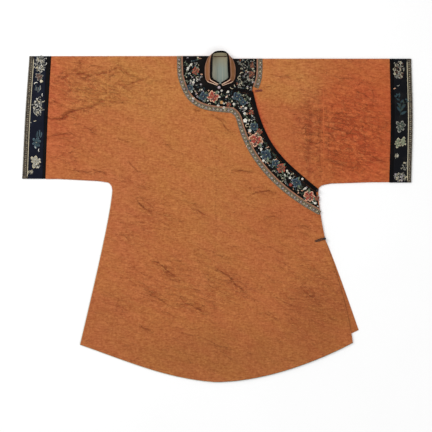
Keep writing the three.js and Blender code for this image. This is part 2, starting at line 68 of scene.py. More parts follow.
# Cloth walls and the gaps between layers, as in the solids
WALL = 1.6
GAP = 0.3
LAYER = WALL + GAP
TRIM = 1.0
PIPING_RISE = 1.6

# Main places of the cut
SHOULDER_LEFT = 541.6
SHOULDER_RIGHT = 532.8
SLEEVE_SEAM_LEFT = -372
SLEEVE_SEAM_RIGHT = 360
UNDERARM_LEFT = 112
UNDERARM_RIGHT = 103.5
CENTRE = -6
RIBBON = 15
PIPING = 4.5
BINDING = 14
UNDERLAP_HEM_RISE = 14
UNDERLAP_INSET = 3
UNDERLAP_POINTS = 68

# Grid steps of the meshes
FINE = 3.15
COARSE = 15.0


def points(*rows):
    return np.array(rows, float)


def table(kind, *rows):
    """The rows of a table, with their columns named."""
    return [kind(*row) for row in rows]


def bezier(a, b, c, d, steps=40):
    t = np.linspace(0, 1, steps + 1)[:, None]
    a, b, c, d = points(a, b, c, d)
    return (1 - t) ** 3 * a + 3 * (1 - t) ** 2 * t * b + 3 * (1 - t) * t**2 * c + t**3 * d


def smooth_curve(rows, steps):
    """Points on a smooth curve through the rows, so many to each stretch."""
    rows = np.asarray(rows, float)
    padded = np.vstack([2 * rows[0] - rows[1], rows, 2 * rows[-1] - rows[-2]])
    t = np.linspace(0, 1, steps, endpoint=False)[:, None]
    out = []
    for p0, p1, p2, p3 in zip(padded, padded[1:], padded[2:], padded[3:]):
        bend = 2 * p0 - 5 * p1 + 4 * p2 - p3
        out.append(0.5 * (2 * p1 + (p2 - p0) * t + bend * t**2 + (3 * p1 - p0 - 3 * p2 + p3) * t**3))
    return np.vstack(out + [rows[-1:]])


def offset(line, distance, closed=False):
    """A row of points moved to its left by a distance."""
    line = np.asarray(line, float)
    if closed:
        before, after = np.roll(line, 1, 0), np.roll(line, -1, 0)
    else:
        before, after = np.vstack([line[:1], line[:-1]]), np.vstack([line[1:], line[-1:]])
    along = after - before
    along /= np.maximum(np.linalg.norm(along, axis=1, keepdims=True), 1e-9)
    return line + np.column_stack([-along[:, 1], along[:, 0]]) * distance


def dense(line, step, closed=False):
    """The same line with a point at least every step."""
    line = np.asarray(line, float)
    ends = np.roll(line, -1, 0) if closed else line[1:]
    out = []
    for a, b in zip(line, ends):
        count = max(1, int(math.ceil(np.linalg.norm(b - a) / step)))
        out.append(a + (b - a) * np.linspace(0, 1, count, endpoint=False)[:, None])
    if not closed:
        out.append(line[-1:])
    return np.vstack(out)


def resample(line, count):
    """So many points evenly along a line."""
    line = np.asarray(line, float)
    lengths = np.concatenate([[0], np.cumsum(np.linalg.norm(np.diff(line, axis=0), axis=1))])
    at = np.linspace(0, lengths[-1], count)
    return np.column_stack([np.interp(at, lengths, line[:, k]) for k in range(line.shape[1])])


def smoothstep(x, low, high):
    t = np.clip((np.asarray(x, float) - low) / (high - low), 0, 1)
    return t * t * (3 - 2 * t)


def line_distance(where, line, closed=False):
    """How far each point lies from a line of segments."""
    starts = np.asarray(line, float)
    ends = np.roll(starts, -1, 0)
    if not closed:
        starts, ends = starts[:-1], ends[:-1]
    best = np.full(len(where), np.inf)
    for a, b in zip(starts, ends):
        d = b - a
        t = np.clip(((where - a) @ d) / max(d @ d, 1e-9), 0, 1)
        best = np.minimum(best, np.hypot(*(where - a - t[:, None] * d).T))
    return best


def inside(where, outline):
    """Which points lie inside a closed outline."""
    x, y = where[:, 0], where[:, 1]
    odd = np.zeros(len(where), bool)
    for (ax, ay), (bx, by) in zip(outline, np.roll(outline, -1, 0)):
        if ay != by:
            odd ^= ((ay > y) != (by > y)) & (x < (bx - ax) * (y - ay) / (by - ay) + ax)
    return odd


# Outlines of the cut, the same as those of the solids
FLAP_EDGE = bezier((120.7, 421.6), (161, 232), (217, 194), (343.7, 88.7))
FLAP_TOP = points((3, 434), (62, 426.5), (120.7, 421.6))
BORDER_EDGE = np.vstack([
    points((-137.7, SHOULDER_LEFT), (-137.7, 520)),
    bezier((-136, 477.7), (-110, 364), (-57, 354), (41.5, 348.5)),
    bezier((44.5, 348), (55, 344), (61, 334), (65, 322), 8),
    bezier((65.3, 320.6), (94, 202), (183, 85), (348.5, -0.3)),
    points((368, -10)),
])
YOKE_EDGE = dense(points((138, 430), (144.5, 444), (150.5, 466), (153, 495), (153, SHOULDER_RIGHT)), 6)
LEFT_SIDE = np.vstack([
    bezier((-466.5, -438.6), (-407, -187), (-362, 9), (-357, 84)),
    points((-359.5, 98), (-365, 107), (SLEEVE_SEAM_LEFT, UNDERARM_LEFT)),
])
HEM = np.vstack([
    bezier((459.7, -431.8), (355, -488), (163, -566.8), (-11.9, -565.1)),
    bezier((-11.9, -565.1), (-170, -553), (-282, -504), (-466.5, -438.6))[1:],
])
UPPER_SIDE = bezier((343.7, 88.7), (339, 53), (360, -59), (367.2, -83.3))
RIGHT_SIDE = np.vstack([UPPER_SIDE, bezier((367.2, -83.3), (409, -208), (448, -340), (459.7, -431.8))[1:]])
BACK_SIDE = np.vstack([UPPER_SIDE, bezier((367.2, -83.3), (396, -146), (460, -332), (479.7, -389.3))[1:]])
BACK_HEM = np.vstack([
    bezier((453.2, -402.2), (330, -470), (150, -556), (-11.9, -557)),
    bezier((-11.9, -557), (-170, -545), (-282, -497), (-463.5, -435))[1:],
])
RIGHT_UNDERARM = points((SLEEVE_SEAM_RIGHT, UNDERARM_RIGHT), (352, 100.5), (345, 94))
LEFT_UNDERSIDE = points((-541, 124), (-491, 121.5), (-406, 117), (SLEEVE_SEAM_LEFT, UNDERARM_LEFT))
RIGHT_UNDERSIDE = points((SLEEVE_SEAM_RIGHT, UNDERARM_RIGHT), (386, 108.5), (450, 110.5), (520, 113))

Cuff = namedtuple("Cuff", "y seam band ribbon end")
CUFFS = {
    "left": [
        Cuff(SHOULDER_LEFT, -564.7, -581.0, -621.9, -638.9),
        Cuff(335.0, -576.3, -587.5, -635.5, -653.5),
        Cuff(124.8, -584.5, -594.0, -644.6, -663.5),
    ],
    "right": [
        Cuff(SHOULDER_RIGHT, 585.1, 598.4, 642.3, 658.2),
        Cuff(330.0, 588.5, 601.5, 647.0, 663.5),
        Cuff(111.9, 583.4, 596.7, 643.6, 658.2),
    ],
}

# The collar's ribs, from the throat round the back and down again: a point of its foot and one of its rim
COLLAR_RIBS = [
    ((-2, 441, 5.7), (6, 448.5, 15)), ((-19, 448, 5.7), (-6.5, 455.5, 19.5)),
    ((-34, 454, 5.7), (-17.5, 463, 24)), ((-41, 466, 5.7), (-19.5, 472, 25)),
    ((-43, 487, 5.7), (-19, 488, 26)), ((-42, 508, 5.7), (-18.5, 511, 26)),
    ((-34, 530, 5.7), (-18, 534, 26)), ((-23, 541, 5.7), (-15.5, 547, 26)),
    ((-10, 540.5, 2.6), (-7, 554.5, 26)), ((10, 540.5, 2.2), (9, 557, 26)),
    ((28, 540.5, 2.6), (26, 555, 26)), ((39, 541, 4.2), (33, 547, 26)), ((52, 527, 3.8), (35, 533, 26)),
    ((60, 506, 3.8), (35.5, 511, 26)), ((61, 485, 3.8), (36.5, 488, 26)),
    ((59, 467, 3.8), (37.5, 472, 25)), ((51, 453.5, 3.8), (36, 463.5, 24)),
    ((35, 447, 3.8), (24.5, 455.5, 19.5)), ((17, 440, 3.8), (12.5, 448.5, 15)),
]
RIB_STEPS = 7
NECK_INSET = 5
foot_line, rim_line = [smooth_curve(line, RIB_STEPS) for line in zip(*COLLAR_RIBS)]

# Where along the foot line the shoulders and the middle of the back are, and where its left side bends
AT_LEFT_SHOULDER = 47
AT_BACK = 60
AT_RIGHT_SHOULDER = 80
NECK_LEFT = -18
NECK_BEND = 500


def both_sides(line):
    """The left and the right side of a line round the neck, each up to its shoulder."""
    left, right = line[:AT_BACK], line[AT_BACK:]
    on_side = (left[:, 0] < NECK_LEFT) | (left[:, 1] < NECK_BEND)
    return left[on_side & (left[:, 1] < SHOULDER_LEFT - 2)], right[right[:, 1] < SHOULDER_RIGHT - 2]


neck_left, neck_right = both_sides(offset(foot_line[:, :2], -NECK_INSET))
skirt_left, skirt_right = both_sides(offset(foot_line[:, :2], 0.5))

FRONT_OUTER = np.vstack([
    neck_left[::-1],
    FLAP_TOP,
    FLAP_EDGE[1:],
    RIGHT_SIDE[1:],
    HEM[1:],
    LEFT_SIDE[1:],
    points((SLEEVE_SEAM_LEFT, SHOULDER_LEFT), (neck_left[-1][0], SHOULDER_LEFT)),
])
underlap_hem = offset(HEM, -UNDERLAP_HEM_RISE)
underlap_hem = underlap_hem[underlap_hem[:, 0] > CENTRE]
FRONT_INNER = np.vstack([
    points((CENTRE, underlap_hem[-1][1]), (CENTRE, 432)),
    neck_right[::-1],
    points((neck_right[0][0], SHOULDER_RIGHT), (SLEEVE_SEAM_RIGHT, SHOULDER_RIGHT)),
    RIGHT_UNDERARM,
    offset(RIGHT_SIDE, -UNDERLAP_INSET)[:UNDERLAP_POINTS],
    underlap_hem[1:],
])
BACK = np.vstack([
    points(
        (neck_left[-1][0], SHOULDER_LEFT - LAYER),
        (neck_left[-1][0], SHOULDER_LEFT - LAYER - 1),
        (neck_right[0][0], SHOULDER_LEFT - LAYER - 1),
        (neck_right[0][0], SHOULDER_RIGHT - LAYER),
        (SLEEVE_SEAM_RIGHT, SHOULDER_RIGHT - LAYER),
    ),
    RIGHT_UNDERARM,
    BACK_SIDE,
    BACK_HEM,
    LEFT_SIDE[1:],
    points((SLEEVE_SEAM_LEFT, SHOULDER_LEFT - LAYER)),
])


def cuff_line(side, name):
    """A line across a cuff, from the shoulder down, through its table's rows."""
    rows = [(getattr(row, name), row.y) for row in CUFFS[side]]
    return smooth_curve(rows, 12)


SILHOUETTE = np.vstack([
    cuff_line("left", "end"),
    LEFT_UNDERSIDE,
    LEFT_SIDE[::-4],
    HEM[::-4],
    RIGHT_SIDE[::-4],
    RIGHT_UNDERSIDE,
    cuff_line("right", "end")[::-1],
    foot_line[AT_RIGHT_SHOULDER::4, :2],
    foot_line[:AT_LEFT_SHOULDER:4, :2],
])
BORDER_REGION = np.vstack([
    BORDER_EDGE[::3],
    FLAP_EDGE[::-4],
    YOKE_EDGE,
    foot_line[AT_RIGHT_SHOULDER::6, :2],
    foot_line[:AT_LEFT_SHOULDER:6, :2],
])

# The largest folds, as in the solids: a line, its width and its height over the flat cloth
Fold = namedtuple("Fold", "x1 y1 x2 y2 width height")
FOLDS = table(
    Fold,
    (-576, 331, -440, 380, 26, 1.5), (-440, 380, -332, 386, 24, -1.6), (-484, 481, -400, 474, 24, -1.2),
    (-349, 444, -230, 467, 24, 1.2), (316, 385, 312, 170, 34, -1.8), (262, 370, 284, 200, 26, 1.3),
    (434, 274, 480, 300, 26, -1.2), (-270, 52, -222, 12, 26, -1.2), (-220, -158, -134, -212, 28, -1.3),
    (2, -185, 97, -260, 28, -1.3), (-117, -297, -42, -331, 26, 1.2), (110, 70, 185, 80, 26, -1.0),
)

USUAL_WIDTH = 4.4

# Creases given one by one: an arc from one end to the other, bent sideways, with its width and depth
Crease = namedtuple("Crease", "x1 y1 x2 y2 bend width depth")
CREASES = table(
    Crease,
    (-580, 328, -500, 338, -5, 9, 1.2), (-520, 336, -436, 366, 6, 8, 1.05),
    (-448, 358, -390, 388, -4, 7, 0.85), (-402, 386, -318, 380, 5, 8, 0.6),
    (-490, 482, -430, 470, 5, 8, 0.9), (-440, 472, -330, 508, -6, 8, 0.8),
    (-352, 508, -322, 500, 5, 7, 0.6), (-332, 503, -282, 472, -4, 7, 0.8),
    (-350, 446, -310, 434, 5, 6, 0.7), (-312, 434, -229, 466, 6, 7, 0.65),
    (-546, 456, -474, 500, -5, 8, 0.65), (-574, 264, -500, 273, 6, 8, 0.75),
    (-500, 426, -400, 404, 8, 8, 0.35), (-420, 440, -352, 420, -5, 7, 0.3),
    (-380, 330, -330, 306, 4, 7, 0.3), (-484, 155, -425, 148, -3, 4.4, 0.8),
    (-427, 148, -380, 143, 3, 4.4, 0.8), (-452, 300, -420, 282, 3, 4, 0.6),
    (-340, 262, -300, 250, -3, 4, 0.6), (-272, 55, -222, 10, -5, 5, 1.1), (-84, 26, -38, -6, 3, 4.4, 0.8),
    (-220, -156, -176, -178, 3, 4.4, 0.9), (-180, -176, -132, -214, -4, 4.4, 1.0),
    (0, -184, 48, -218, 4, 4.4, 0.9), (46, -216, 99, -262, -4, 4.4, 1.0),
    (-248, -252, -216, -268, 2, 4.4, 0.8), (-118, -296, -42, -332, 5, 5, 1.0),
    (-264, -371, -228, -390, -2, 4.4, 0.8), (-26, 343, 16, 317, 3, 4.4, 0.8),
    (14, 320, 54, 279, -4, 4.4, 0.9), (48, 149, 112, 148, 3, 4.4, 0.8), (110, 71, 186, 79, 6, 5, 1.0),
    (158, -16, 214, -8, 7, 4.4, 0.7), (280, -35, 310, -40, 1, 4.4, 0.9),
    (309, 420, 317, 230, 4, 17, 0.55), (320, 318, 316, 84, -6, 20, 0.6), (344, 420, 349, 250, 3, 10, 0.3),
    (350, 320, 352, 98, -2, 9, 0.4), (372, 360, 378, 180, 4, 6, 0.35), (398, 330, 404, 200, -5, 6, 0.4),
    (424, 400, 436, 300, 6, 6, 0.4), (452, 250, 462, 150, -6, 6, 0.4), (486, 320, 500, 220, 8, 6, 0.4),
    (516, 450, 530, 370, 6, 6, 0.35), (548, 330, 560, 240, -5, 6, 0.4),
    (303, 300, 301, 112, 3, 4.4, 0.45), (262, 340, 268, 190, -4, 8, 0.25),
    (420, 330, 452, 290, 8, 4.4, 0.5), (446, 290, 420, 262, 5, 4.4, 0.4),
    (402, 184, 440, 176, -5, 5, 0.7), (470, 220, 500, 176, 8, 4.4, 0.5),
    (520, 184, 546, 190, 3, 4.4, 0.6), (356, 420, 420, 430, 5, 5, 0.4),
    (440, 440, 500, 452, -5, 4.4, 0.35), (500, 330, 530, 280, 6, 4.4, 0.4),
    (372, 250, 392, 200, -6, 4.4, 0.35), (430, 272, 470, 298, -4, 4.4, 0.9),
    (470, 420, 520, 396, 4, 4.4, 0.7), (398, 474, 452, 462, -4, 4.4, 0.6),
    (500, 210, 548, 188, 4, 4.4, 0.7), (405, 178, 452, 160, -3, 4.4, 0.6),
    (160, 436, 184, 434, 1, 4, 0.9), (188, 480, 240, 470, -3, 4.4, 0.5),
    (-300, 180, -262, 148, -3, 4.4, 0.6), (-190, 250, -150, 222, 3, 4.4, 0.5),
    (-160, 90, -116, 76, 2, 4, 0.5), (-330, -60, -292, -92, 3, 4.4, 0.6),
    (-80, -120, -34, -140, -3, 4.4, 0.5), (200, -150, 246, -178, 4, 4.4, 0.6),
    (286, -246, 330, -280, -3, 4.4, 0.6), (150, -332, 206, -356, 4, 4.4, 0.6),
    (-246, -262, -161, -308, 3, 4.4, 0.6), (-297, -168, -212, -219, -4, 4.4, 0.4),
    (-62, -112, 30, -150, 4, 4.4, 0.35), (-332, 132, -240, 88, 4, 4.4, 0.35),
    (58, 62, 142, 22, -3, 4.4, 0.3), (130, -92, 232, -138, 5, 4.4, 0.35),
    (-182, 12, -98, -32, -4, 4.4, 0.35), (-384, -262, -300, -306, 4, 4.4, 0.4),
    (182, -262, 276, -318, -5, 4.4, 0.4), (-120, -402, -30, -428, 4, 4.4, 0.35),
    (-20, -30, 62, -84, 3, 4.4, 0.3), (-20, -430, 36, -448, -3, 4.4, 0.5),
    (-350, -300, -318, -330, 3, 4.4, 0.6), (250, -400, 300, -408, -3, 4.4, 0.5),
    (-6, 342, -7, -120, 2, 3.4, 0.18), (-7, -115, -8, -556, -2, 3.4, 0.14),
)
SMALL_CREASES = 640
BODY_SIDE = 380

# Where the silk is crumpled most: a middle, its reach both ways and its strength
Crumple = namedtuple("Crumple", "x y reach_x reach_y strength")
CRUMPLED = table(
    Crumple,
    (460, 280, 130, 170, 0.8), (318, 290, 45, 150, 0.55), (-450, 440, 190, 90, 0.6),
    (-500, 250, 90, 80, 0.35), (-70, -250, 230, 110, 0.35), (330, -240, 110, 170, 0.3),
    (-230, -10, 90, 90, 0.25),
)


def crumpled(where):
    """How crumpled the silk is at each point."""
    total = np.full(len(where), 0.05)
    for spot in CRUMPLED:
        away = ((where - (spot.x, spot.y)) / (spot.reach_x, spot.reach_y)) ** 2
        total += spot.strength * np.exp(-1.3 * away.sum(axis=1))
    return total


def small_creases():
    """Short soft wrinkles, uneven in place, length and depth, most of them where the silk is crumpled."""
    draw = random.Random(SEED)
    tries = [(draw.uniform(-590, 590), draw.uniform(-550, 535)) for _ in range(12 * SMALL_CREASES)]
    tries = points(*tries)
    tries = tries[inside(tries, SILHOUETTE)]
    chosen = [draw.random() < 0.18 + share for share in crumpled(tries)]
    rows = []
    for x, y in tries[chosen][:SMALL_CREASES]:
        on_body = abs(x) < BODY_SIDE and y < 300
        turn = math.radians(draw.gauss(-33, 13) if on_body else draw.gauss(-4, 34))
        length = draw.uniform(14, 56) if on_body else draw.uniform(12, 38)
        dx, dy = math.cos(turn) * length / 2, math.sin(turn) * length / 2
        bend, width = draw.uniform(-0.2, 0.2) * length, draw.uniform(2.6, 4.2)
        depth = draw.uniform(0.08, 0.3 if on_body else 0.46)
        rows.append(Crease(x - dx, y - dy, x + dx, y + dy, bend, width, depth))
    return rows


def arc(crease, steps=7):
    """A crease's arc, as a line of points."""
    t = np.linspace(0, 1, steps)[:, None]
    a, b = points((crease.x1, crease.y1), (crease.x2, crease.y2))
    across = np.array([a[1] - b[1], b[0] - a[0]]) / np.linalg.norm(b - a)
    return a + (b - a) * t + across * crease.bend * 4 * t * (1 - t)


def echoes():
    """Softer neighbours beside the body's main creases, uneven in length, depth and distance."""
    draw = random.Random(SEED + 1)
    rows = []
    for crease in CREASES:
        dx, dy = crease.x2 - crease.x1, crease.y2 - crease.y1
        for side in (-1, 1):
            away, slide = side * draw.uniform(11, 30), draw.uniform(-0.45, 0.45)
            longer, depth = draw.uniform(0.5, 1.2), crease.depth * draw.uniform(0.25, 0.5)
            if abs(crease.x1) < BODY_SIDE and crease.y1 < 260:
                x, y = crease.x1 + slide * dx, crease.y1 + slide * dy + away
                bend = draw.uniform(-0.06, 0.06) * math.hypot(dx, dy)
                rows.append(Crease(x, y, x + longer * dx, y + longer * dy, bend, USUAL_WIDTH, depth))
    return rows


CREASE_LINES = [(crease, arc(crease)) for crease in CREASES + echoes() + small_creases()]


def waver(where):
    """Moves each point by a few millimetres, so that no crease is a clean arc."""
    x, y = where.T
    dx = 1.6 * np.sin(y / 14 + np.sin(x / 19)) + 0.9 * np.sin(x / 6.1 + y / 7.3)
    dy = 1.6 * np.sin(x / 15 + np.sin(y / 18)) + 0.9 * np.sin(x / 5.3 - y / 8.9)
    return where + np.column_stack([dx, dy])


def fading(where):
    """How a crease fades and deepens along its length."""
    x, y = where.T
    wave = np.sin(x / 9.5 + 1.3 * np.sin(y / 14)) * np.sin(y / 7.5 + 1.1 * np.sin(x / 21))
    return 0.78 + 0.22 * wave


LINE_REACH = 5.0
SHADING_AND_BLUSH_COLUMNS = 5
CREASE_REACH = 3.2
MOST_DARK = 1.2
HEM_SIDE = 100
SOFT_SHARE = 0.72
CRUMPLE_BESIDE = 2.2
BLUSH_REACH = 9


def beside(crease, where):
    """How far each point lies to the left of a crease's arc, and how strong the crease is there.

    The distance is given as for a crease of the usual width.
    """
    start = np.array([crease.x1, crease.y1])
    way = np.array([crease.x2, crease.y2]) - start
    length = np.linalg.norm(way)
    along = (where - start) @ way / length**2
    hump = np.clip(4 * along * (1 - along), 0, 1)
    gap = (where - start) @ np.array([-way[1], way[0]]) / length - crease.bend * hump
    gap *= USUAL_WIDTH / crease.width
    return gap, crease.depth * np.sqrt(hump) * np.exp(-((gap / LINE_REACH) ** 2))


def crease_section(gap):
    """The height across a crease of depth 1, at a distance in crease widths: a trough and its crest."""
    return 0.6 * np.exp(-((gap - 1.6) ** 2) * 1.3) - np.exp(-(gap**2) * 1.6)


def crease_field(where):
    """The height of the creases at each point, and their painted shading and blush.

    Its columns are how much painted shade darkens the silk in its creases, how crumpled the silk is (which
    sets its painted highlights and soft light and shade), how red the silk is, the distance across the
    strongest crease and that crease's strength.
    """
    strength = fading(where)
    wavered = waver(where)
    height, dark = np.zeros((2, len(where)))
    crumple = crumpled(where)
    gaps, strongest = np.zeros((2, len(where)))
    for crease, line in CREASE_LINES:
        reach = CREASE_REACH * crease.width
        near = np.all((wavered > line.min(0) - reach) & (wavered < line.max(0) + reach), axis=1)
        if near.any():
            gap = line_distance(wavered[near], line) / crease.width
            height[near] += crease.depth * crease_section(gap)
            # Painted shade: each crease darkens the silk along its trough, less on the lower robe.
            soft = SOFT_SHARE if crease.y1 < HEM_SIDE else 1.0
            dark[near] += soft * min(crease.depth, MOST_DARK) * np.exp(-(gap**2) * 2.0)
            crumple[near] += CRUMPLE_BESIDE / crease.width * crease.depth * np.exp(-(gap**2) * 0.4)
            across, share = beside(crease, wavered[near])
            more = share > strongest[near]
            gaps[near] = np.where(more, across, gaps[near])
            strongest[near] = np.where(more, share, strongest[near])
    blush = np.exp(-((line_distance(where, FLAP_EDGE[::2]) / BLUSH_REACH) ** 2))
    blush *= smoothstep(where[:, 1], 120, 260)
    dark = np.clip(dark * strength, 0, 1)
    crease_shading_and_blush = np.column_stack([dark, np.clip(crumple, 0, 1), blush, gaps, strongest * strength])
    return height * strength, crease_shading_and_blush


def fold_field(where):
    """The height of the largest folds."""
    total = np.zeros(len(where))
    for fold in FOLDS:
        gap = line_distance(where, points((fold.x1, fold.y1), (fold.x2, fold.y2))) / fold.width
        total += fold.height * np.exp(-(gap**2))
    return total


LOFT = 1.9
EDGE_ROLL = 10
LOFT_REACH = 130
MOST_LOFT = 4.0
STIFF_REACH = 14


def loft(where):
    """Height of the front cloth over its flat edges, and its painted crease shading and blush."""
    where = np.asarray(where, float)[:, :2]
    edge = line_distance(where, SILHOUETTE, closed=True)
    body = smoothstep(edge, EDGE_ROLL, LOFT_REACH) * (LOFT + fold_field(where))
    height, crease_shading_and_blush = crease_field(where)
    soft = np.where(inside(where, BORDER_REGION), 0, line_distance(where, BORDER_REGION, closed=True))
    free = smoothstep(soft, 1, STIFF_REACH) * smoothstep(edge, 2, 22)
    # No painted crease shade where the border keeps the cloth stiff.
    crease_shading_and_blush[:, [0, 4]] *= free[:, None]
    return np.clip(body + height * free, 0, MOST_LOFT), crease_shading_and_blush


LAP_RAMP = 78
LAP_TOP = CENTRE - 32


def lap_lift(where):
    """How much the outer front is lifted where it laps over the inner one."""
    return smoothstep(np.asarray(where)[:, 0], LAP_TOP - LAP_RAMP, LAP_TOP) * LAYER


def level_top(height):
    """A top surface at one height, without creases."""
    def top(where):
        return np.full(len(where), height), np.zeros((len(where), SHADING_AND_BLUSH_COLUMNS))
    return top


def inner_top(where):
    """The top of the inner front, of the sleeves and of the cuffs."""
    height, crease_shading_and_blush = loft(where)
    return height + LAYER + WALL, crease_shading_and_blush


def outer_top(where):
    """The top of the outer front."""
    height, crease_shading_and_blush = inner_top(where)
    return height + lap_lift(where), crease_shading_and_blush


def raised(layer, rise):
    """A surface that follows a layer at a distance above it."""
    def top(where):
        height, crease_shading_and_blush = layer(where)
        return height + rise, crease_shading_and_blush
    return top


# Meshes
def facing_out(verts, faces):
    """The faces of a closed mesh, turned round if they look inwards."""
    verts = np.asarray(verts, float)
    corners = np.array([(face[0], b, c) for face in faces for b, c in zip(face[1:], face[2:])])
    a, b, c = verts[corners[:, 0]], verts[corners[:, 1]], verts[corners[:, 2]]
    return faces if np.sum(a * np.cross(b, c)) > 0 else [tuple(face[::-1]) for face in faces]


def new_object(name, verts, faces, crease_shading_and_blush=None, thread=None):
    """A mesh object in the scene, with what its material reads of its creases, for their painted shading and
    blush, or of its thread.
    """
    mesh = bpy.data.meshes.new(name)
    mesh.from_pydata((np.asarray(verts, float) * MM).tolist(), [], facing_out(verts, faces))
    mesh.validate()
    if crease_shading_and_blush is not None:
        # The painted crease shade, the crumple and the blush go in one attribute; the thin lines of painted
        # shade go in the other.
        line = np.column_stack([crease_shading_and_blush[:, 3:], np.zeros(len(crease_shading_and_blush))])
        for label, values in (("crease_shading_and_blush", crease_shading_and_blush[:, :3]), ("line", line)):
            attribute = mesh.attributes.new(label, "FLOAT_VECTOR", "POINT")
            attribute.data.foreach_set("vector", np.ravel(values).astype("f"))
    if thread is not None:
        mesh.attributes.new("thread", "FLOAT", "POINT").data.foreach_set("value", np.asarray(thread, "f"))
    mesh.polygons.foreach_set("use_smooth", [True] * len(mesh.polygons))
    mesh.update()
    piece = bpy.data.objects.new(name, mesh)
    bpy.context.scene.collection.objects.link(piece)
    return piece


def dress(piece, material, slot, *nodes):
    """Gives a piece its material and its body, and hides the solids that it stands for. The slot is not used.
    """
    piece.data.materials.append(material)
    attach(piece, "root")
    if nodes:
        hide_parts(*nodes)
    return piece


def outline_area(outline):
    x, y = outline[:, 0], outline[:, 1]
    return 0.5 * float(np.sum(x * np.roll(y, -1) - np.roll(x, -1) * y))


def grid_inside(outline, step, fine=None):
    """Staggered grid points inside an outline. Where fine says no, only every fourth point stays."""
    low, high = outline.min(0), outline.max(0)
    out = []
    ends = np.roll(outline, -1, 0)
    for k, y in enumerate(np.arange(low[1] + step / 2, high[1], step * 0.866)):
        cut = (outline[:, 1] > y) != (ends[:, 1] > y)
        a, b = outline[cut], ends[cut]
        crossings = np.sort(a[:, 0] + (b[:, 0] - a[:, 0]) * (y - a[:, 1]) / (b[:, 1] - a[:, 1]))
        x = np.arange(low[0] + step * (0.5 + 0.5 * (k % 2)), high[0], step)
        row = np.column_stack([x, np.full(len(x), y)])[np.searchsorted(crossings, x) % 2 == 1]
        if fine is not None and len(row):
            keep = fine(row)
            if k % 4 == 0:
                keep[::4] = True
            row = row[keep]
        out.append(row)
    grid = np.vstack(out)
    tree = KDTree(len(outline))
    for k, (x, y) in enumerate(outline):
        tree.insert((x, y, 0), k)
    tree.balance()
    clear = [tree.find((x, y, 0))[2] > 0.55 * step for x, y in grid]
    return grid[np.array(clear, bool)]


def triangulate(outline, step, fine=None):
    """Points and triangles of a flat sheet, whose first points are the outline's."""
    grid = grid_inside(outline, step, fine)
    flat = np.vstack([outline, grid])
    made = delaunay_2d_cdt([Vector(p) for p in flat], [], [list(range(len(outline)))], 1, 1e-5)
    source = [min(s) if s else -1 for s in made[3]]
    faces = []
    for a, b, c in made[2]:
        a, b, c = source[a], source[b], source[c]
        ab, ac = flat[b] - flat[a], flat[c] - flat[a]
        faces.append((a, b, c) if ab[0] * ac[1] > ab[1] * ac[0] else (a, c, b))
    return flat, faces


def tidy_outline(outline, step):
    """A closed outline with its inside on its left, and with its points neither far apart nor crowded."""
    outline = dense(outline, step, closed=True)
    if outline_area(outline) < 0:
        outline = outline[::-1]
    kept = [outline[0]]
    for place in outline[1:]:
        if np.linalg.norm(place - kept[-1]) > 0.3 * step:
            kept.append(place)
    if np.linalg.norm(kept[-1] - kept[0]) < 0.3 * step:
        kept.pop()
    return np.array(kept)


def inset(outline, distance):
    """An outline drawn in by a distance, and by less where it would cross itself."""
    moved = offset(outline, distance, closed=True)
    near = line_distance(moved, outline, closed=True) < 0.8 * distance
    near |= ~inside(moved, outline)
    near |= np.roll(near, 1) | np.roll(near, -1)
    moved[near] = offset(outline, 0.1 * distance, closed=True)[near]
    return moved


UPPER_INSET = 0.6
LOWER_INSET = 1.7


def rolled_edge(outline, edge_z, low_z, wall):
    """The rings of points round a panel's edge, from its top to its underside."""
    return [
        (offset(outline, 0.15, True), edge_z - 0.25 * wall),
        (outline, edge_z - 0.5 * wall),
        (outline, low_z + 0.3 * wall),
        (offset(outline, 0.4, True), low_z),
    ]


def panel(name, outline, top, wall, floor_from=None, fine=None, step=FINE):
    """A closed thin shell of cloth with a rolled edge. Above floor_from its edge turns down to the floor."""
    outline = tidy_outline(outline, step)
    upper, upper_faces = triangulate(inset(outline, UPPER_INSET), step, fine)
    lower, lower_faces = triangulate(inset(outline, LOWER_INSET), COARSE)
    upper_z, upper_shading_and_blush = top(upper)
    lower_z = top(lower)[0] - wall
    edge_z, _ = top(outline)
    low_z = edge_z - wall
    if floor_from is not None:
        low_z = np.where(outline[:, 1] > floor_from, 0.0, low_z)
    blocks = [(upper, upper_z), *rolled_edge(outline, edge_z, low_z, wall), (lower, lower_z)]
    verts = [np.column_stack([line, z]) for line, z in blocks]
    starts = [0, *itertools.accumulate(len(block) for block in verts)]
    faces = list(upper_faces)
    after = np.roll(np.arange(len(outline)), -1)
    for a, b in zip(starts, starts[1:-1]):
        faces += [(a + i, b + i, b + j, a + j) for i, j in enumerate(after)]
    faces += [(starts[-2] + a, starts[-2] + c, starts[-2] + b) for a, b, c in lower_faces]
    crease_shading_and_blush = np.zeros((starts[-1], SHADING_AND_BLUSH_COLUMNS))
    crease_shading_and_blush[: len(upper_shading_and_blush)] = upper_shading_and_blush
    return new_object(name, np.vstack(verts), faces, crease_shading_and_blush)


def ring_faces(rings, size, closed_ends=False):
    """Quads between rings of so many points, which follow each other."""
    faces = []
    for r in range(rings - 1):
        for k in range(size):
            a, b = r * size + k, r * size + (k + 1) % size
            faces.append((a, a + size, b + size, b))
    if closed_ends:
        faces.append(tuple(range(size)))
        faces.append(tuple((rings - 1) * size + k for k in reversed(range(size))))
    return faces


FOLD_STEPS = 6
FOLD_RADIUS = (WALL + LAYER) / 2
FOLD_TURN = np.linspace(0, math.pi, FOLD_STEPS + 1)[1:-1]
UNDER_STEPS = 24
TUBE_LOW = 110


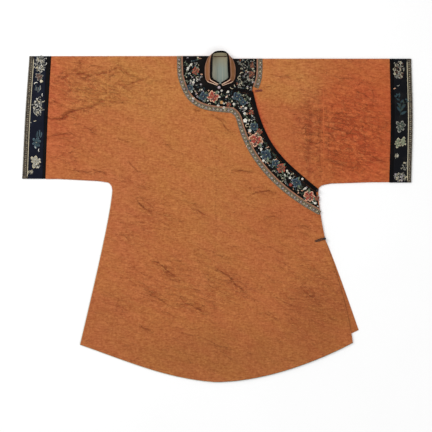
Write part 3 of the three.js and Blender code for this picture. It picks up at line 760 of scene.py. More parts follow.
def tube_ring(low, high, upper_steps, x_at):
    """One ring of a tube, outside and inside: its upper layer, a fold, its lower layer and a fold."""
    swing, lean = np.sin(FOLD_TURN), np.cos(FOLD_TURN)
    upper_y = np.linspace(low, high, upper_steps)
    lower_y = np.linspace(high, low, UNDER_STEPS)
    y = np.concatenate([upper_y, high + swing * FOLD_RADIUS, lower_y, low - swing * FOLD_RADIUS])
    x = x_at(y)
    upper_z, upper_shading_and_blush = inner_top(np.column_stack([x, y])[: len(upper_y)])
    floor, ceiling = np.zeros(UNDER_STEPS), np.full(UNDER_STEPS, WALL)
    z = np.concatenate([upper_z, FOLD_RADIUS + lean * FOLD_RADIUS, floor, FOLD_RADIUS - lean * FOLD_RADIUS])
    inside_y = np.concatenate([upper_y, high + swing * 0.1, lower_y, low - swing * 0.1])
    inside_z = np.concatenate([upper_z - WALL, FOLD_RADIUS + lean * 0.15, ceiling, FOLD_RADIUS - lean * 0.15])
    crease_shading_and_blush = np.vstack([upper_shading_and_blush, np.zeros((len(y) - len(upper_shading_and_blush), SHADING_AND_BLUSH_COLUMNS))])
    return np.column_stack([x, y, z]), np.column_stack([x, inside_y, inside_z]), crease_shading_and_blush


def tube_faces(rings, size):
    """Faces of a tube's outer wall, its inner wall and the rims that join them at both ends."""
    shift, last = rings * size, (rings - 1) * size
    faces = ring_faces(rings, size)
    faces += [tuple(shift + k for k in reversed(face)) for face in ring_faces(rings, size)]
    for k in range(size):
        n = (k + 1) % size
        faces.append((k, n, shift + n, shift + k))
        faces.append((last + n, last + k, shift + last + k, shift + last + n))
    return faces


def tube(name, start, end, bottom, top_y, columns):
    """A flattened tube of cloth, open at both ends, from the line start to the line end."""
    outer, inner, crease_shading_and_blush = [], [], []
    for share in np.linspace(0, 1, columns + 1):
        def x_at(y):
            ends = [np.interp(y, line[::-1, 1], line[::-1, 0]) for line in (start, end)]
            return (1 - share) * ends[0] + share * ends[1]
        x_low = (1 - share) * start[-1][0] + share * end[-1][0]
        low = float(np.interp(x_low, bottom[:, 0], bottom[:, 1])) + FOLD_RADIUS
        ring = tube_ring(low, top_y - FOLD_RADIUS, int((top_y - TUBE_LOW) / FINE), x_at)
        for rows, made in zip((outer, inner, crease_shading_and_blush), ring):
            rows.append(made)
    faces = tube_faces(columns + 1, len(outer[0]))
    inner_shading_and_blush = np.zeros((sum(map(len, inner)), SHADING_AND_BLUSH_COLUMNS))
    return new_object(name, np.vstack(outer + inner), faces, np.vstack(crease_shading_and_blush + [inner_shading_and_blush]))


FLAT_PROFILE = [(0.0, 0.2), (0.02, 0.75), (0.07, 1.0), (0.5, 1.0), (0.93, 1.0), (0.98, 0.75), (1.0, 0.2)]
ROUND_PROFILE = [(0.5 - 0.5 * math.cos(a), math.sin(a)) for a in np.linspace(0.12, math.pi - 0.12, 9)]


def band(name, left, right, layer, rise, profile, lengthways=FINE):
    """A strip between two lines, laid on a layer, with a section given by its profile."""
    length = np.sum(np.linalg.norm(np.diff(left, axis=0), axis=1))
    count = int(length / lengthways)
    left, right = resample(left, count), resample(right, count)
    columns = []
    for share, height in profile:
        line = (1 - share) * left + share * right
        columns.append(np.column_stack([line, layer(line)[0] + GAP + rise * height]))
    for line in (right, left):
        columns.append(np.column_stack([line, layer(line)[0] + GAP]))
    size = len(columns)
    verts = np.stack(columns, axis=1).reshape(-1, 3)
    faces = ring_faces(count, size, closed_ends=True)
    thread = np.tile([s for s, _ in profile] + [1.0, 0.0], count)
    return new_object(name, verts, faces, thread=thread * np.linalg.norm(right[0] - left[0]))


def joined(parts):
    """The points, faces and thread measures of several small meshes, as one."""
    faces, base = [], 0
    for part_verts, part_faces, _ in parts:
        faces += [tuple(base + k for k in face) for face in facing_out(part_verts, part_faces)]
        base += len(part_verts)
    return np.vstack([part[0] for part in parts]), faces, np.concatenate([part[2] for part in parts])


# Materials. In the studio's light a matt surface shows this much brighter than its own colour
LIGHT_GAIN = 1.13


def node(tree, kind, inputs=None, **settings):
    """Adds a shader node. Inputs hold plain values or other nodes' outputs."""
    made = tree.nodes.new(kind)
    for name, value in settings.items():
        setattr(made, name, value)
    for name, value in (inputs or {}).items():
        if isinstance(value, bpy.types.NodeSocket):
            tree.links.new(value, made.inputs[name])
        else:
            made.inputs[name].default_value = value
    return made


def math_node(tree, operation, a, b=0.0, clamp=False):
    return node(tree, "ShaderNodeMath", {0: a, 1: b}, operation=operation, use_clamp=clamp).outputs[0]


def times(tree, a, b):
    return math_node(tree, "MULTIPLY", a, b)


def plus(tree, a, b, clamp=False):
    return math_node(tree, "ADD", a, b, clamp)


def share_between(tree, value, low, high, soft=False, most=1.0):
    """How far a value has come from low to high: from 0 to the most, evenly or softly."""
    inputs = {"Value": value, "From Min": low, "From Max": high, "To Max": most}
    kind = "SMOOTHSTEP" if soft else "LINEAR"
    return node(tree, "ShaderNodeMapRange", inputs, interpolation_type=kind).outputs["Result"]


def mix_colour(tree, factor, a, b, blend="MIX"):
    inputs = {0: factor, 6: a, 7: b}
    return node(tree, "ShaderNodeMix", inputs, data_type="RGBA", blend_type=blend).outputs[2]


def seen(red, green, blue):
    """The colour of a surface that shows as these screen values, from 0 to 255, in the studio's light."""
    convert = lambda v: v / 12.92 if v <= 0.04045 else ((v + 0.055) / 1.055) ** 2.4
    return (*[convert(v / 255) / LIGHT_GAIN for v in (red, green, blue)], 1.0)


def new_group(name, inputs, outputs):
    tree = bpy.data.node_groups.new(name, "ShaderNodeTree")
    for label, kind, value in inputs:
        socket = tree.interface.new_socket(label, in_out="INPUT", socket_type=kind)
        if value is not None:
            socket.default_value = value
    for label, kind in outputs:
        tree.interface.new_socket(label, in_out="OUTPUT", socket_type=kind)
    return tree, tree.nodes.new("NodeGroupInput").outputs, tree.nodes.new("NodeGroupOutput").inputs


FLOAT = "NodeSocketFloat"
COLOUR = "NodeSocketColor"
VECTOR = "NodeSocketVector"


def stretched(tree, vector, scale):
    return node(tree, "ShaderNodeMapping", {"Vector": vector, "Scale": scale}).outputs[0]


def noise(tree, vector, scale, detail=3.0, roughness=0.5):
    inputs = {"Vector": vector, "Scale": scale, "Detail": detail, "Roughness": roughness}
    return node(tree, "ShaderNodeTexNoise", inputs).outputs["Fac"]


WEFT_SHARE = 0.65
WEAVE_SHARE = 0.25


def make_weave_group():
    """Fine threads both ways: a height for the bump and an uneven shade of the threads."""
    tree, given, out = new_group(
        "woven threads",
        [("Vector", VECTOR, None), ("Threads per metre", FLOAT, 1200.0), ("Slub", FLOAT, 0.5)],
        [("Height", FLOAT), ("Shade", FLOAT)],
    )
    split = node(tree, "ShaderNodeSeparateXYZ", {0: given["Vector"]}).outputs
    ways = []
    for axis in (0, 1):
        turns = times(tree, given["Threads per metre"], 2 * math.pi)
        ways.append(math_node(tree, "SINE", times(tree, split[axis], turns)))
    weave = times(tree, *ways)
    weft = noise(tree, stretched(tree, given["Vector"], (60.0, 260.0, 60.0)), 1.0, 5.0, 0.62)
    warp = noise(tree, stretched(tree, given["Vector"], (240.0, 50.0, 50.0)), 1.0, 5.0, 0.62)
    both = plus(tree, times(tree, weft, WEFT_SHARE), times(tree, warp, 1 - WEFT_SHARE))
    uneven = times(tree, both, given["Slub"])
    tree.links.new(plus(tree, times(tree, weave, WEAVE_SHARE), uneven), out["Height"])
    tree.links.new(both, out["Shade"])
    return tree


def make_wear_group():
    """Soft cloudy patches, from 0 to 1."""
    tree, given, out = new_group(
        "soft patches",
        [("Vector", VECTOR, None), ("Scale", FLOAT, 8.0), ("Low", FLOAT, 0.4), ("High", FLOAT, 0.65)],
        [("Mask", FLOAT)],
    )
    cloud = noise(tree, given["Vector"], given["Scale"], 5.0, 0.55)
    tree.links.new(share_between(tree, cloud, given["Low"], given["High"], soft=True), out["Mask"])
    return tree


def make_crinkle_group():
    """Thin broken wrinkles: a mask of their dark lines, where shade is painted, a mask of their crests, where
    highlights are painted, and a height for the bump.
    """
    tree, given, out = new_group(
        "fine crinkles",
        [("Vector", VECTOR, None), ("Line width", FLOAT, 0.05), ("Turn", VECTOR, None)],
        [("Line", FLOAT), ("Crest", FLOAT), ("Height", FLOAT)],
    )
    mapping = {"Vector": given["Vector"], "Rotation": given["Turn"], "Scale": (0.034, 0.0125, 0.034)}
    place = node(tree, "ShaderNodeMapping", mapping, vector_type="TEXTURE").outputs[0]
    swirls = {"Vector": place, "Scale": 1.0, "Detail": 3.0, "Roughness": 0.6, "Distortion": 1.3}
    field = node(tree, "ShaderNodeTexNoise", swirls).outputs["Fac"]
    unbroken = share_between(tree, noise(tree, given["Vector"], 55.0, 3.0), 0.42, 0.56)
    for label, level in (("Line", 0.47), ("Crest", 0.55)):
        away = math_node(tree, "ABSOLUTE", math_node(tree, "SUBTRACT", field, level))
        line = share_between(tree, away, given["Line width"], 0.0)
        tree.links.new(times(tree, line, unbroken), out[label])
    tree.links.new(field, out["Height"])
    return tree


# Where the silk is redder, more golden or browner: a centre and reach in metres, a strength and a colour
Tint = namedtuple("Tint", "x y reach_x reach_y strength colour")
SILK_COLOUR = seen(187, 111, 63)
SILK_TINTS = table(
    Tint,
    (-0.60, 0.36, 0.18, 0.32, 0.80, seen(189, 98, 58)), (0.50, 0.28, 0.22, 0.32, 0.95, seen(194, 91, 49)),
    (0.26, 0.26, 0.13, 0.18, 0.62, seen(188, 101, 57)), (0.15, 0.33, 0.04, 0.12, 0.40, seen(190, 88, 54)),
    (-0.05, 0.22, 0.30, 0.26, 0.55, seen(190, 121, 66)),
    (0.22, 0.47, 0.20, 0.09, 0.70, seen(196, 126, 70)),
    (-0.28, 0.45, 0.24, 0.14, 0.65, seen(192, 128, 70)),
    (-0.34, 0.02, 0.14, 0.22, 0.45, seen(188, 106, 68)),
    (-0.02, -0.10, 0.12, 0.24, 0.45, seen(187, 118, 66)),
    (0.00, -0.48, 0.42, 0.12, 0.65, seen(166, 101, 54)),
    (0.36, -0.34, 0.16, 0.18, 0.55, seen(160, 92, 48)),
    (-0.38, -0.36, 0.14, 0.14, 0.55, seen(176, 102, 60)),
    (0.24, -0.02, 0.16, 0.10, 0.40, seen(182, 98, 56)),
)


TINT_WANDER = 0.11


def vector_node(tree, operation, inputs, output=0):
    return node(tree, "ShaderNodeVectorMath", inputs, operation=operation).outputs[output]


def make_tint_group():
    """The slow drift of the silk's colour from one part of the robe to another."""
    tree, given, out = new_group("silk tints", [("Vector", VECTOR, None)], [("Colour", COLOUR)])
    cloud = node(tree, "ShaderNodeTexNoise", {"Vector": given["Vector"], "Scale": 9.0, "Detail": 4.0})
    push = vector_node(tree, "SUBTRACT", {0: cloud.outputs["Color"], 1: (0.5, 0.5, 0.5)})
    push = vector_node(tree, "SCALE", {0: push, "Scale": TINT_WANDER})
    place = vector_node(tree, "ADD", {0: given["Vector"], 1: push})
    colour = node(tree, "ShaderNodeRGB").outputs[0]
    colour.default_value = SILK_COLOUR
    for tint in SILK_TINTS:
        mapping = {
            "Vector": place,
            "Location": (-tint.x / tint.reach_x, -tint.y / tint.reach_y, 0),
            "Scale": (1 / tint.reach_x, 1 / tint.reach_y, 0),
        }
        spot = node(tree, "ShaderNodeMapping", mapping).outputs[0]
        away = vector_node(tree, "LENGTH", {0: spot}, "Value")
        mask = share_between(tree, away, 1.3, 0.2, soft=True, most=tint.strength)
        colour = mix_colour(tree, mask, colour, tint.colour)
    tree.links.new(colour, out["Colour"])
    return tree


def make_thread_group():
    """Lines of stitches, from a mesh's own measure across them: a height for the bump and a shade for the
    painted light and shade along them.
    """
    tree, given, out = new_group(
        "stitch lines", [("Thread width", FLOAT, 0.7)], [("Height", FLOAT), ("Shade", FLOAT)]
    )
    across = node(tree, "ShaderNodeAttribute", attribute_name="thread").outputs["Fac"]
    turns = math_node(tree, "DIVIDE", across, given["Thread width"])
    wave = math_node(tree, "SINE", times(tree, turns, 2 * math.pi))
    tree.links.new(wave, out["Height"])
    tree.links.new(math_node(tree, "MULTIPLY_ADD", wave, 0.5), out["Shade"])
    return tree


WEAVE = make_weave_group()
PATCHES = make_wear_group()
CRINKLES = make_crinkle_group()
TINTS = make_tint_group()
STITCHES = make_thread_group()


def group(tree, which, **inputs):
    made = tree.nodes.new("ShaderNodeGroup")
    made.node_tree = which
    for label, value in inputs.items():
        label = label.replace("_", " ")
        if isinstance(value, bpy.types.NodeSocket):
            tree.links.new(value, made.inputs[label])
        else:
            made.inputs[label].default_value = value
    return made.outputs


def new_material(name):
    material = bpy.data.materials.new(name)
    material.use_nodes = True
    tree = material.node_tree
    shader = tree.nodes["Principled BSDF"]
    vector = tree.nodes.new("ShaderNodeTexCoord").outputs["Object"]
    return material, tree, shader, vector


def bump(tree, height, distance, strength=1.0, normal=None):
    inputs = {"Height": height, "Distance": distance, "Strength": strength}
    if normal is not None:
        inputs["Normal"] = normal
    return node(tree, "ShaderNodeBump", inputs).outputs["Normal"]


def finish(shader, roughness, sheen=0.0, sheen_tint=(1, 1, 1, 1), specular=0.3):
    shader.inputs["Roughness"].default_value = roughness
    shader.inputs["Sheen Weight"].default_value = sheen
    shader.inputs["Sheen Tint"].default_value = sheen_tint
    shader.inputs["Specular IOR Level"].default_value = specular


# Painted shade in the creases, painted highlights on the crests and painted soft light and shade where the
# silk is crumpled
CREASE_SHADE_RED = seen(136, 50, 20)
CREST_HIGHLIGHT = seen(204, 130, 78)
BLUSH_SILK = seen(188, 62, 44)
CREASE_HALF_WIDTH = 2.3
FOLD_SHADE = (0.86, 0.76, 0.72, 1.0)
FOLD_LIGHT = (1.1, 1.17, 1.19, 1.0)
GOLDEN_CAST = (0.99, 1.035, 0.975, 1.0)
ROSY_CAST = (1.01, 0.965, 1.015, 1.0)
SILK_SHADE = (0.72, 0.58, 0.43, 1.0)
SILK_LIGHT = (1.12, 1.18, 1.14, 1.0)
CAST_SLANT = math.radians(-35)
CRINKLE_SLANT = math.radians(-14)
BLUSH_SHARE = 0.45
CREST_SHARE = 0.36
MARK_SHADE = 0.1
THIN_SHADE = 0.66
MARK_DEPTH = 0.4
THIN_DEPTH = 0.16


def crease_masks(tree):
    """What the mesh says of its creases: the wide mask of painted crease shade, crumple, the blush beside the
    flap and the thin lines of painted shade.
    """
    crease_shading_and_blush = node(tree, "ShaderNodeAttribute", attribute_name="crease_shading_and_blush").outputs["Vector"]
    crease_shade_mask, crumple, blush = node(tree, "ShaderNodeSeparateXYZ", {0: crease_shading_and_blush}).outputs
    line = node(tree, "ShaderNodeAttribute", attribute_name="line").outputs["Vector"]
    gap, strength, _ = node(tree, "ShaderNodeSeparateXYZ", {0: line}).outputs
    thin = share_between(tree, math_node(tree, "ABSOLUTE", gap), CREASE_HALF_WIDTH, 0.3, soft=True)
    return crease_shade_mask, crumple, blush, math_node(tree, "MULTIPLY", thin, strength, clamp=True)


def silk_ground(tree, vector, blush, threads):
    """The silk's colour without its creases: tints, a slanting cast, the blush and the uneven weave."""
    colour = group(tree, TINTS, Vector=vector)["Colour"]
    slant = {"Vector": vector, "Rotation": (0, 0, CAST_SLANT), "Scale": (0.15, 0.055, 0.1)}
    slant = node(tree, "ShaderNodeMapping", slant, vector_type="TEXTURE").outputs[0]
    cast = group(tree, PATCHES, Vector=slant, Scale=1.0, Low=0.36, High=0.64)["Mask"]
    colour = mix_colour(tree, 1.0, colour, mix_colour(tree, cast, GOLDEN_CAST, ROSY_CAST), "MULTIPLY")
    colour = mix_colour(tree, times(tree, blush, BLUSH_SHARE), colour, BLUSH_SILK)
    mottle = noise(tree, stretched(tree, vector, (130.0, 190.0, 130.0)), 1.0, 5.0, 0.65)
    both = plus(tree, times(tree, threads, 0.5), times(tree, mottle, 0.5))
    shade = share_between(tree, both, 0.39, 0.61)
    return mix_colour(tree, 1.0, colour, mix_colour(tree, shade, SILK_SHADE, SILK_LIGHT), "MULTIPLY")


def crumpled_silk(tree, colour, crinkle, crumple):
    """The silk's colour with painted highlights on its fine crests and painted soft light and shade, most
    where it is crumpled.
    """
    # Painted highlight: the crests of the crinkles are lightened, most where the silk is crumpled.
    crest = times(tree, crinkle["Crest"], times(tree, crumple, CREST_SHARE))
    colour = mix_colour(tree, crest, colour, CREST_HIGHLIGHT)
    relief = share_between(tree, crinkle["Height"], 0.38, 0.6, soft=True)
    relief = mix_colour(tree, relief, FOLD_SHADE, FOLD_LIGHT)
    rumpled = plus(tree, times(tree, crumple, 0.85), 0.2, clamp=True)
    return mix_colour(tree, rumpled, colour, relief, "MULTIPLY")


def silk_material():
    """Shot silk: red and golden threads, drifting in tint, with painted shade in its creases and fine
    crinkles, painted highlights on their crests and painted soft light and shade.
    """
    material, tree, shader, vector = new_material("shot_silk")
    crease_shade_mask, crumple, blush, thin = crease_masks(tree)
    weave = group(tree, WEAVE, Vector=vector, Threads_per_metre=900.0, Slub=1.0)
    crinkle = group(tree, CRINKLES, Vector=vector, Line_width=0.05, Turn=(0, 0, CRINKLE_SLANT))
    colour = silk_ground(tree, vector, blush, weave["Shade"])
    colour = crumpled_silk(tree, colour, crinkle, crumple)
    # Painted shade: the wide crease mask, the thin crease lines and the fine crinkle lines darken the silk
    # towards a deep red.
    fine = times(tree, crinkle["Line"], plus(tree, times(tree, crumple, CREST_SHARE), 0.09))
    dark = plus(tree, times(tree, crease_shade_mask, MARK_SHADE), fine)
    dark = plus(tree, dark, times(tree, thin, THIN_SHADE), clamp=True)
    tree.links.new(mix_colour(tree, dark, colour, CREASE_SHADE_RED), shader.inputs["Base Color"])
    soft = times(tree, crinkle["Height"], plus(tree, crumple, 0.25))
    trough = plus(tree, times(tree, crease_shade_mask, MARK_DEPTH), times(tree, thin, THIN_DEPTH))
    normal = bump(tree, math_node(tree, "SUBTRACT", soft, trough), 0.012, 1.0)
    normal = bump(tree, weave["Height"], 0.0005, 0.5, normal)
    tree.links.new(normal, shader.inputs["Normal"])
    finish(shader, 0.6, 0.06, (1.0, 0.72, 0.5, 1.0), 0.15)
    return material


def satin_material(name, deep, worn, roughness):
    """Close satin, worn in soft patches."""
    material, tree, shader, vector = new_material(name)
    weave = group(tree, WEAVE, Vector=vector, Threads_per_metre=1400.0, Slub=0.6)
    cloud = group(tree, PATCHES, Vector=vector, Scale=30.0, Low=0.45, High=0.75)["Mask"]
    tree.links.new(mix_colour(tree, cloud, deep, worn), shader.inputs["Base Color"])
    tree.links.new(bump(tree, weave["Height"], 0.0003, 0.4), shader.inputs["Normal"])
    finish(shader, roughness, 0.0, (0.6, 0.65, 0.8, 1.0), 0.06)
    return material


def ribbon_material(name, ground, light, threads):
    """Ribbon woven of a dull ground and lighter threads."""
    material, tree, shader, vector = new_material(name)
    weave = group(tree, WEAVE, Vector=vector, Threads_per_metre=threads, Slub=1.2)
    cloud = group(tree, PATCHES, Vector=vector, Scale=120.0, Low=0.4, High=0.62)["Mask"]
    tree.links.new(mix_colour(tree, cloud, ground, light), shader.inputs["Base Color"])
    tree.links.new(bump(tree, weave["Height"], 0.0004, 0.7), shader.inputs["Normal"])
    finish(shader, 0.6, 0.06, (1.0, 0.95, 0.85, 1.0), 0.15)
    return material


def lighter(colour, gain, lift=0.0):
    return (*[min(1.0, gain * share + lift) for share in colour[:3]], 1.0)


def thread_material(name, colour, width=0.8):
    """Silk thread, with painted light and shade along its stitches."""
    material, tree, shader, vector = new_material(name)
    lines = group(tree, STITCHES, Thread_width=width)
    # Painted light and shade: the thread is paler or deeper in stripes along its stitches, and in uneven
    # patches.
    pale, deep = lighter(colour, 1.35), lighter(colour, 0.72)
    cloud = group(tree, PATCHES, Vector=vector, Scale=90.0, Low=0.4, High=0.66)["Mask"]
    shade = math_node(tree, "MULTIPLY_ADD", lines["Shade"], 0.4)
    shade = plus(tree, shade, times(tree, cloud, 0.5), clamp=True)
    tree.links.new(mix_colour(tree, shade, deep, pale), shader.inputs["Base Color"])
    tree.links.new(bump(tree, lines["Height"], 0.00012, 0.7), shader.inputs["Normal"])
    finish(shader, 0.42, 0.04, (1.0, 0.95, 0.9, 1.0), 0.25)
    return material


# Across the neck, in metres: where the lining's painted light on its left edge, its blue strip and its darker
# top begin and end
PAINTED_LIGHT_EDGE = (0.0, -0.018)
BLUE_LEFT = (-0.012, 0.006)
BLUE_RIGHT = (0.028, 0.008)
DARKER_TOP = (0.5, 0.55)


def lining_material():
    """Pale lining, striped along its threads, with a blue strip down its middle and painted light on its left
    side.
    """
    material, tree, shader, vector = new_material("pale_lining")
    weave = group(tree, WEAVE, Vector=vector, Threads_per_metre=1100.0, Slub=1.0)
    stripe = noise(tree, stretched(tree, vector, (170.0, 4.0, 4.0)), 1.0, 2.0)
    stripe = share_between(tree, stripe, 0.35, 0.65)
    colour = mix_colour(tree, stripe, seen(176, 174, 154), seen(126, 140, 132))
    x, y, _ = node(tree, "ShaderNodeSeparateXYZ", {0: vector}).outputs
    blue = times(tree, share_between(tree, x, *BLUE_RIGHT), share_between(tree, x, *BLUE_LEFT))
    colour = mix_colour(tree, times(tree, blue, 0.4), colour, seen(124, 146, 146))
    # Painted light: the lining's left side is made paler.
    colour = mix_colour(tree, share_between(tree, x, *PAINTED_LIGHT_EDGE), colour, seen(208, 202, 180))
    colour = mix_colour(tree, share_between(tree, y, *DARKER_TOP), colour, seen(164, 150, 116))
    tree.links.new(colour, shader.inputs["Base Color"])
    tree.links.new(bump(tree, weave["Height"], 0.0003, 0.5), shader.inputs["Normal"])
    finish(shader, 0.65, 0.2)
    return material


def plain_thread(name, colour, roughness, scale=700.0, distance=0.0004):
    """Cord, knots and beads: an even colour with a fine uneven surface."""
    material, tree, shader, vector = new_material(name)
    grain = noise(tree, vector, scale, 4.0)
    pale = lighter(colour, 1.5, 0.004)
    tree.links.new(mix_colour(tree, grain, colour, pale), shader.inputs["Base Color"])
    tree.links.new(bump(tree, grain, distance, 0.6), shader.inputs["Normal"])
    finish(shader, roughness, 0.1)
    return material


SILK = silk_material()
MAROON_SILK = satin_material("maroon_silk", seen(74, 24, 22), seen(98, 36, 30), 0.5)
COLLAR_SILK = satin_material("collar_silk", seen(140, 94, 60), seen(168, 124, 86), 0.55)
BLACK_SATIN = satin_material("black_satin", seen(11, 9, 8), seen(24, 20, 18), 0.5)
BLACK_BINDING = satin_material("black_binding", seen(7, 5, 6), seen(18, 13, 12), 0.55)
NAVY_SATIN = satin_material("navy_satin", seen(13, 16, 30), seen(22, 26, 40), 0.5)
FADED_NAVY = satin_material("faded_navy_satin", seen(13, 14, 18), seen(30, 28, 28), 0.5)
SILVER_RIBBON = ribbon_material("silver_ribbon", seen(84, 66, 48), seen(124, 105, 80), 1500.0)
DARK_RIBBON = ribbon_material("dark_ribbon", seen(46, 38, 30), seen(82, 71, 56), 1300.0)
PINK_PIPING = thread_material("pink_piping", seen(142, 100, 76), 0.9)
PALE_PIPING = thread_material("pale_piping", seen(206, 172, 146), 0.9)
LINING = lining_material()
BLACK_CORD = plain_thread("black_cord", seen(24, 18, 22), 0.6)
RED_CORD = plain_thread("red_cord", seen(108, 42, 34), 0.55)
PEARL = plain_thread("pearl_button", seen(164, 146, 150), 0.3, 260.0, 0.0001)
THREADS = {
    name: thread_material("thread_" + name, seen(*colour))
    for name, colour in {
        "red": (140, 44, 32), "rose": (176, 84, 62), "blush": (216, 166, 136), "rust": (134, 74, 48),
        "brown": (84, 52, 42), "amber": (190, 140, 88), "white": (216, 212, 200), "cream": (190, 180, 152),
        "silver": (138, 136, 126), "lilac": (172, 162, 166), "leaf": (100, 112, 88), "moss": (42, 54, 44),
        "teal": (32, 54, 60), "sky": (78, 98, 108), "blue": (20, 32, 50),
    }.items()
}


def uncovered(where):
    """Where the inner front shows, with a little more under the flap's edge."""
    shown = inside(where, np.vstack([FLAP_EDGE[::4], points((420, 60), (420, 560), (-80, 560), (-80, 430))]))
    return shown | (line_distance(where, FLAP_EDGE[::4]) < 12)


back = panel("back_cloth", BACK, level_top(WALL), WALL, step=9.0)
dress(back, SILK, "silk", "back")
front_inner = panel("front_inner_cloth", FRONT_INNER, inner_top, WALL, SHOULDER_RIGHT - 0.3, uncovered)
dress(front_inner, SILK, "silk", "front_inner")
front_outer = panel("front_outer_cloth", FRONT_OUTER, outer_top, WALL, SHOULDER_LEFT - 0.3)
dress(front_outer, SILK, "silk", "front_outer")

# The sleeves and the cuffs' bands are flattened tubes, one after the other
Side = namedtuple("Side", "out seam_x top_y underarm_y underside columns")
SIDES = {
    "left": Side(-1, SLEEVE_SEAM_LEFT, SHOULDER_LEFT, UNDERARM_LEFT, LEFT_UNDERSIDE, 56),
    "right": Side(1, SLEEVE_SEAM_RIGHT, SHOULDER_RIGHT, UNDERARM_RIGHT, RIGHT_UNDERSIDE, 60),
}


def shifted(line, dx):
    return np.asarray(line) + (dx, 0)


def add_sleeve(side):
    out, seam_x, top_y, underarm_y, underside, columns = SIDES[side]
    seam = points((seam_x + out * GAP, top_y), (seam_x + out * GAP, underarm_y))
    wrist = shifted(cuff_line(side, "seam"), -out * GAP)
    piece = tube(f"sleeve_{side}_cloth", seam, wrist, underside, top_y, columns)
    return dress(piece, SILK, "silk", f"sleeve_{side}"), seam


sleeves = {side: add_sleeve(side) for side in SIDES}

CUFF_BANDS = [
    ("binding", "seam", "band", BLACK_BINDING, "black_satin", 6),
    ("band", "band", "ribbon", None, "navy_satin", 14),
    ("ribbon", "ribbon", "end", DARK_RIBBON, "dark_ribbon", 6),
]
BEYOND_CUFFS = 700


def add_cuff(side):
    """A cuff's three bands, each from one line across it to the next."""
    out, top_y, low_y = SIDES[side].out, CUFFS[side][0].y, CUFFS[side][-1].y
    bottom = points((-BEYOND_CUFFS, low_y), (BEYOND_CUFFS, low_y))
    navy = NAVY_SATIN if side == "left" else FADED_NAVY
    made = {}
    for name, start, end, material, slot, columns in CUFF_BANDS:
        first = shifted(cuff_line(side, start), out * GAP)
        piece = tube(f"cuff_{side}_{name}_cloth", first, cuff_line(side, end), bottom, top_y, columns)
        made[name] = dress(piece, material or navy, slot, f"cuff_{side}_{name}")
    return made


cuffs = {side: add_cuff(side) for side in CUFFS}

# The border on the outer front
piping_end = RIBBON + GAP + PIPING
TRIMS = [
    ("ribbon", 0, RIBBON, TRIM, FLAT_PROFILE, SILVER_RIBBON, "silver_ribbon"),
    ("piping", RIBBON + GAP, piping_end, PIPING_RISE, ROUND_PROFILE, PINK_PIPING, "pink_piping"),
]


def clipped(left, right, outline):
    """The parts of two lines that lie inside an outline."""
    left, right = resample(left, 700), resample(right, 700)
    keep = inside((left + right) / 2, outline)
    return left[keep], right[keep]


def lay_trims(name, edge, region, layer):
    """The ribbon and the piping along a border's edge, as far as its region goes."""
    made = []
    for part, start, end, rise, profile, material, slot in TRIMS:
        left, right = clipped(offset(edge, start), offset(edge, end), region)
        piece = band(f"{name}_{part}_cloth", left, right, layer, rise, profile)
        made.append(dress(piece, material, slot, f"{name}_{part}"))
    return made


flap_region = FRONT_OUTER + (0, 0.01)
border_ribbon, border_piping = lay_trims("border", BORDER_EDGE, flap_region, outer_top)

# The binding widens from the throat along the flap's top, and runs down its edge
binding_outer = np.vstack([FLAP_TOP, FLAP_EDGE[1:]])
binding_inner = np.vstack([
    FLAP_TOP[:2] - (0, 5),
    points((109, 413.5), (112, 400)),
    offset(FLAP_EDGE, -BINDING)[6:],
])
inner_rail = resample(binding_inner, 400)
outer_rail = resample(binding_outer, 400)
border_binding = band("border_binding_cloth", inner_rail, outer_rail, outer_top, TRIM, FLAT_PROFILE)
dress(border_binding, BLACK_BINDING, "black_satin", "border_binding")

satin_edge = offset(BORDER_EDGE, piping_end + GAP)
satin_edge = satin_edge[inside(satin_edge, flap_region)]
satin_outline = np.vstack([
    points((satin_edge[0][0], SHOULDER_LEFT)),
    satin_edge,
    binding_inner[::-1] + (-GAP, -GAP),
    skirt_left,
    points((skirt_left[-1][0], SHOULDER_LEFT)),
])
satin_top = raised(outer_top, GAP + TRIM)
border_satin = panel("border_satin_cloth", satin_outline, satin_top, TRIM)
dress(border_satin, BLACK_SATIN, "black_satin", "border_satin")

# The yoke's other part lies on the inner front and ends under the flap
beyond_flap = np.vstack([
    points((3, 434 + GAP), (62, 426.5 + GAP)),
    offset(FLAP_EDGE, GAP),
    points((352, 560), (-60, 560), (-60, 442)),
])
yoke_region = np.vstack([beyond_flap[:-2], points((3, 560))])
yoke_ribbon, yoke_piping = lay_trims("yoke_inner", YOKE_EDGE, yoke_region, inner_top)
yoke_edge = offset(YOKE_EDGE, piping_end + GAP)
yoke_edge = yoke_edge[inside(yoke_edge, yoke_region)]
skirt_right = skirt_right[inside(skirt_right, yoke_region)]
flap_shadow = dense(offset(FLAP_TOP, GAP), 3)
shadow_x = flap_shadow[:, 0]
flap_shadow = flap_shadow[(shadow_x > skirt_right[-1][0] + 1) & (shadow_x < FLAP_EDGE[0][0])]
yoke_outline = np.vstack([
    flap_shadow,
    yoke_edge,
    points((yoke_edge[-1][0], SHOULDER_RIGHT), (skirt_right[0][0], SHOULDER_RIGHT)),
    skirt_right,
])
yoke_top = raised(inner_top, GAP + TRIM)
yoke_satin = panel("yoke_inner_satin_cloth", yoke_outline, yoke_top, TRIM)
dress(yoke_satin, BLACK_SATIN, "black_satin", "yoke_inner_satin")

# A scrap of black satin fills the throat, between the collar's ends and the flap
throat_outline = points(
    (-5, 438), (-6, 433.5), (3, 433), (26, 431), (30, 437), (22, 443), (12, 447), (2, 446),
)
THROAT_LIFT = 0.7
THROAT_WALL = 0.6


def throat_top(where):
    on_flap = inside(where, FRONT_OUTER)
    below = np.where(on_flap, outer_top(where)[0], inner_top(where)[0])
    return below + THROAT_LIFT, np.zeros((len(where), SHADING_AND_BLUSH_COLUMNS))


throat_scrap = panel("throat_scrap", throat_outline, throat_top, THROAT_WALL, step=2.0)
dress(throat_scrap, BLACK_BINDING, "black_satin")

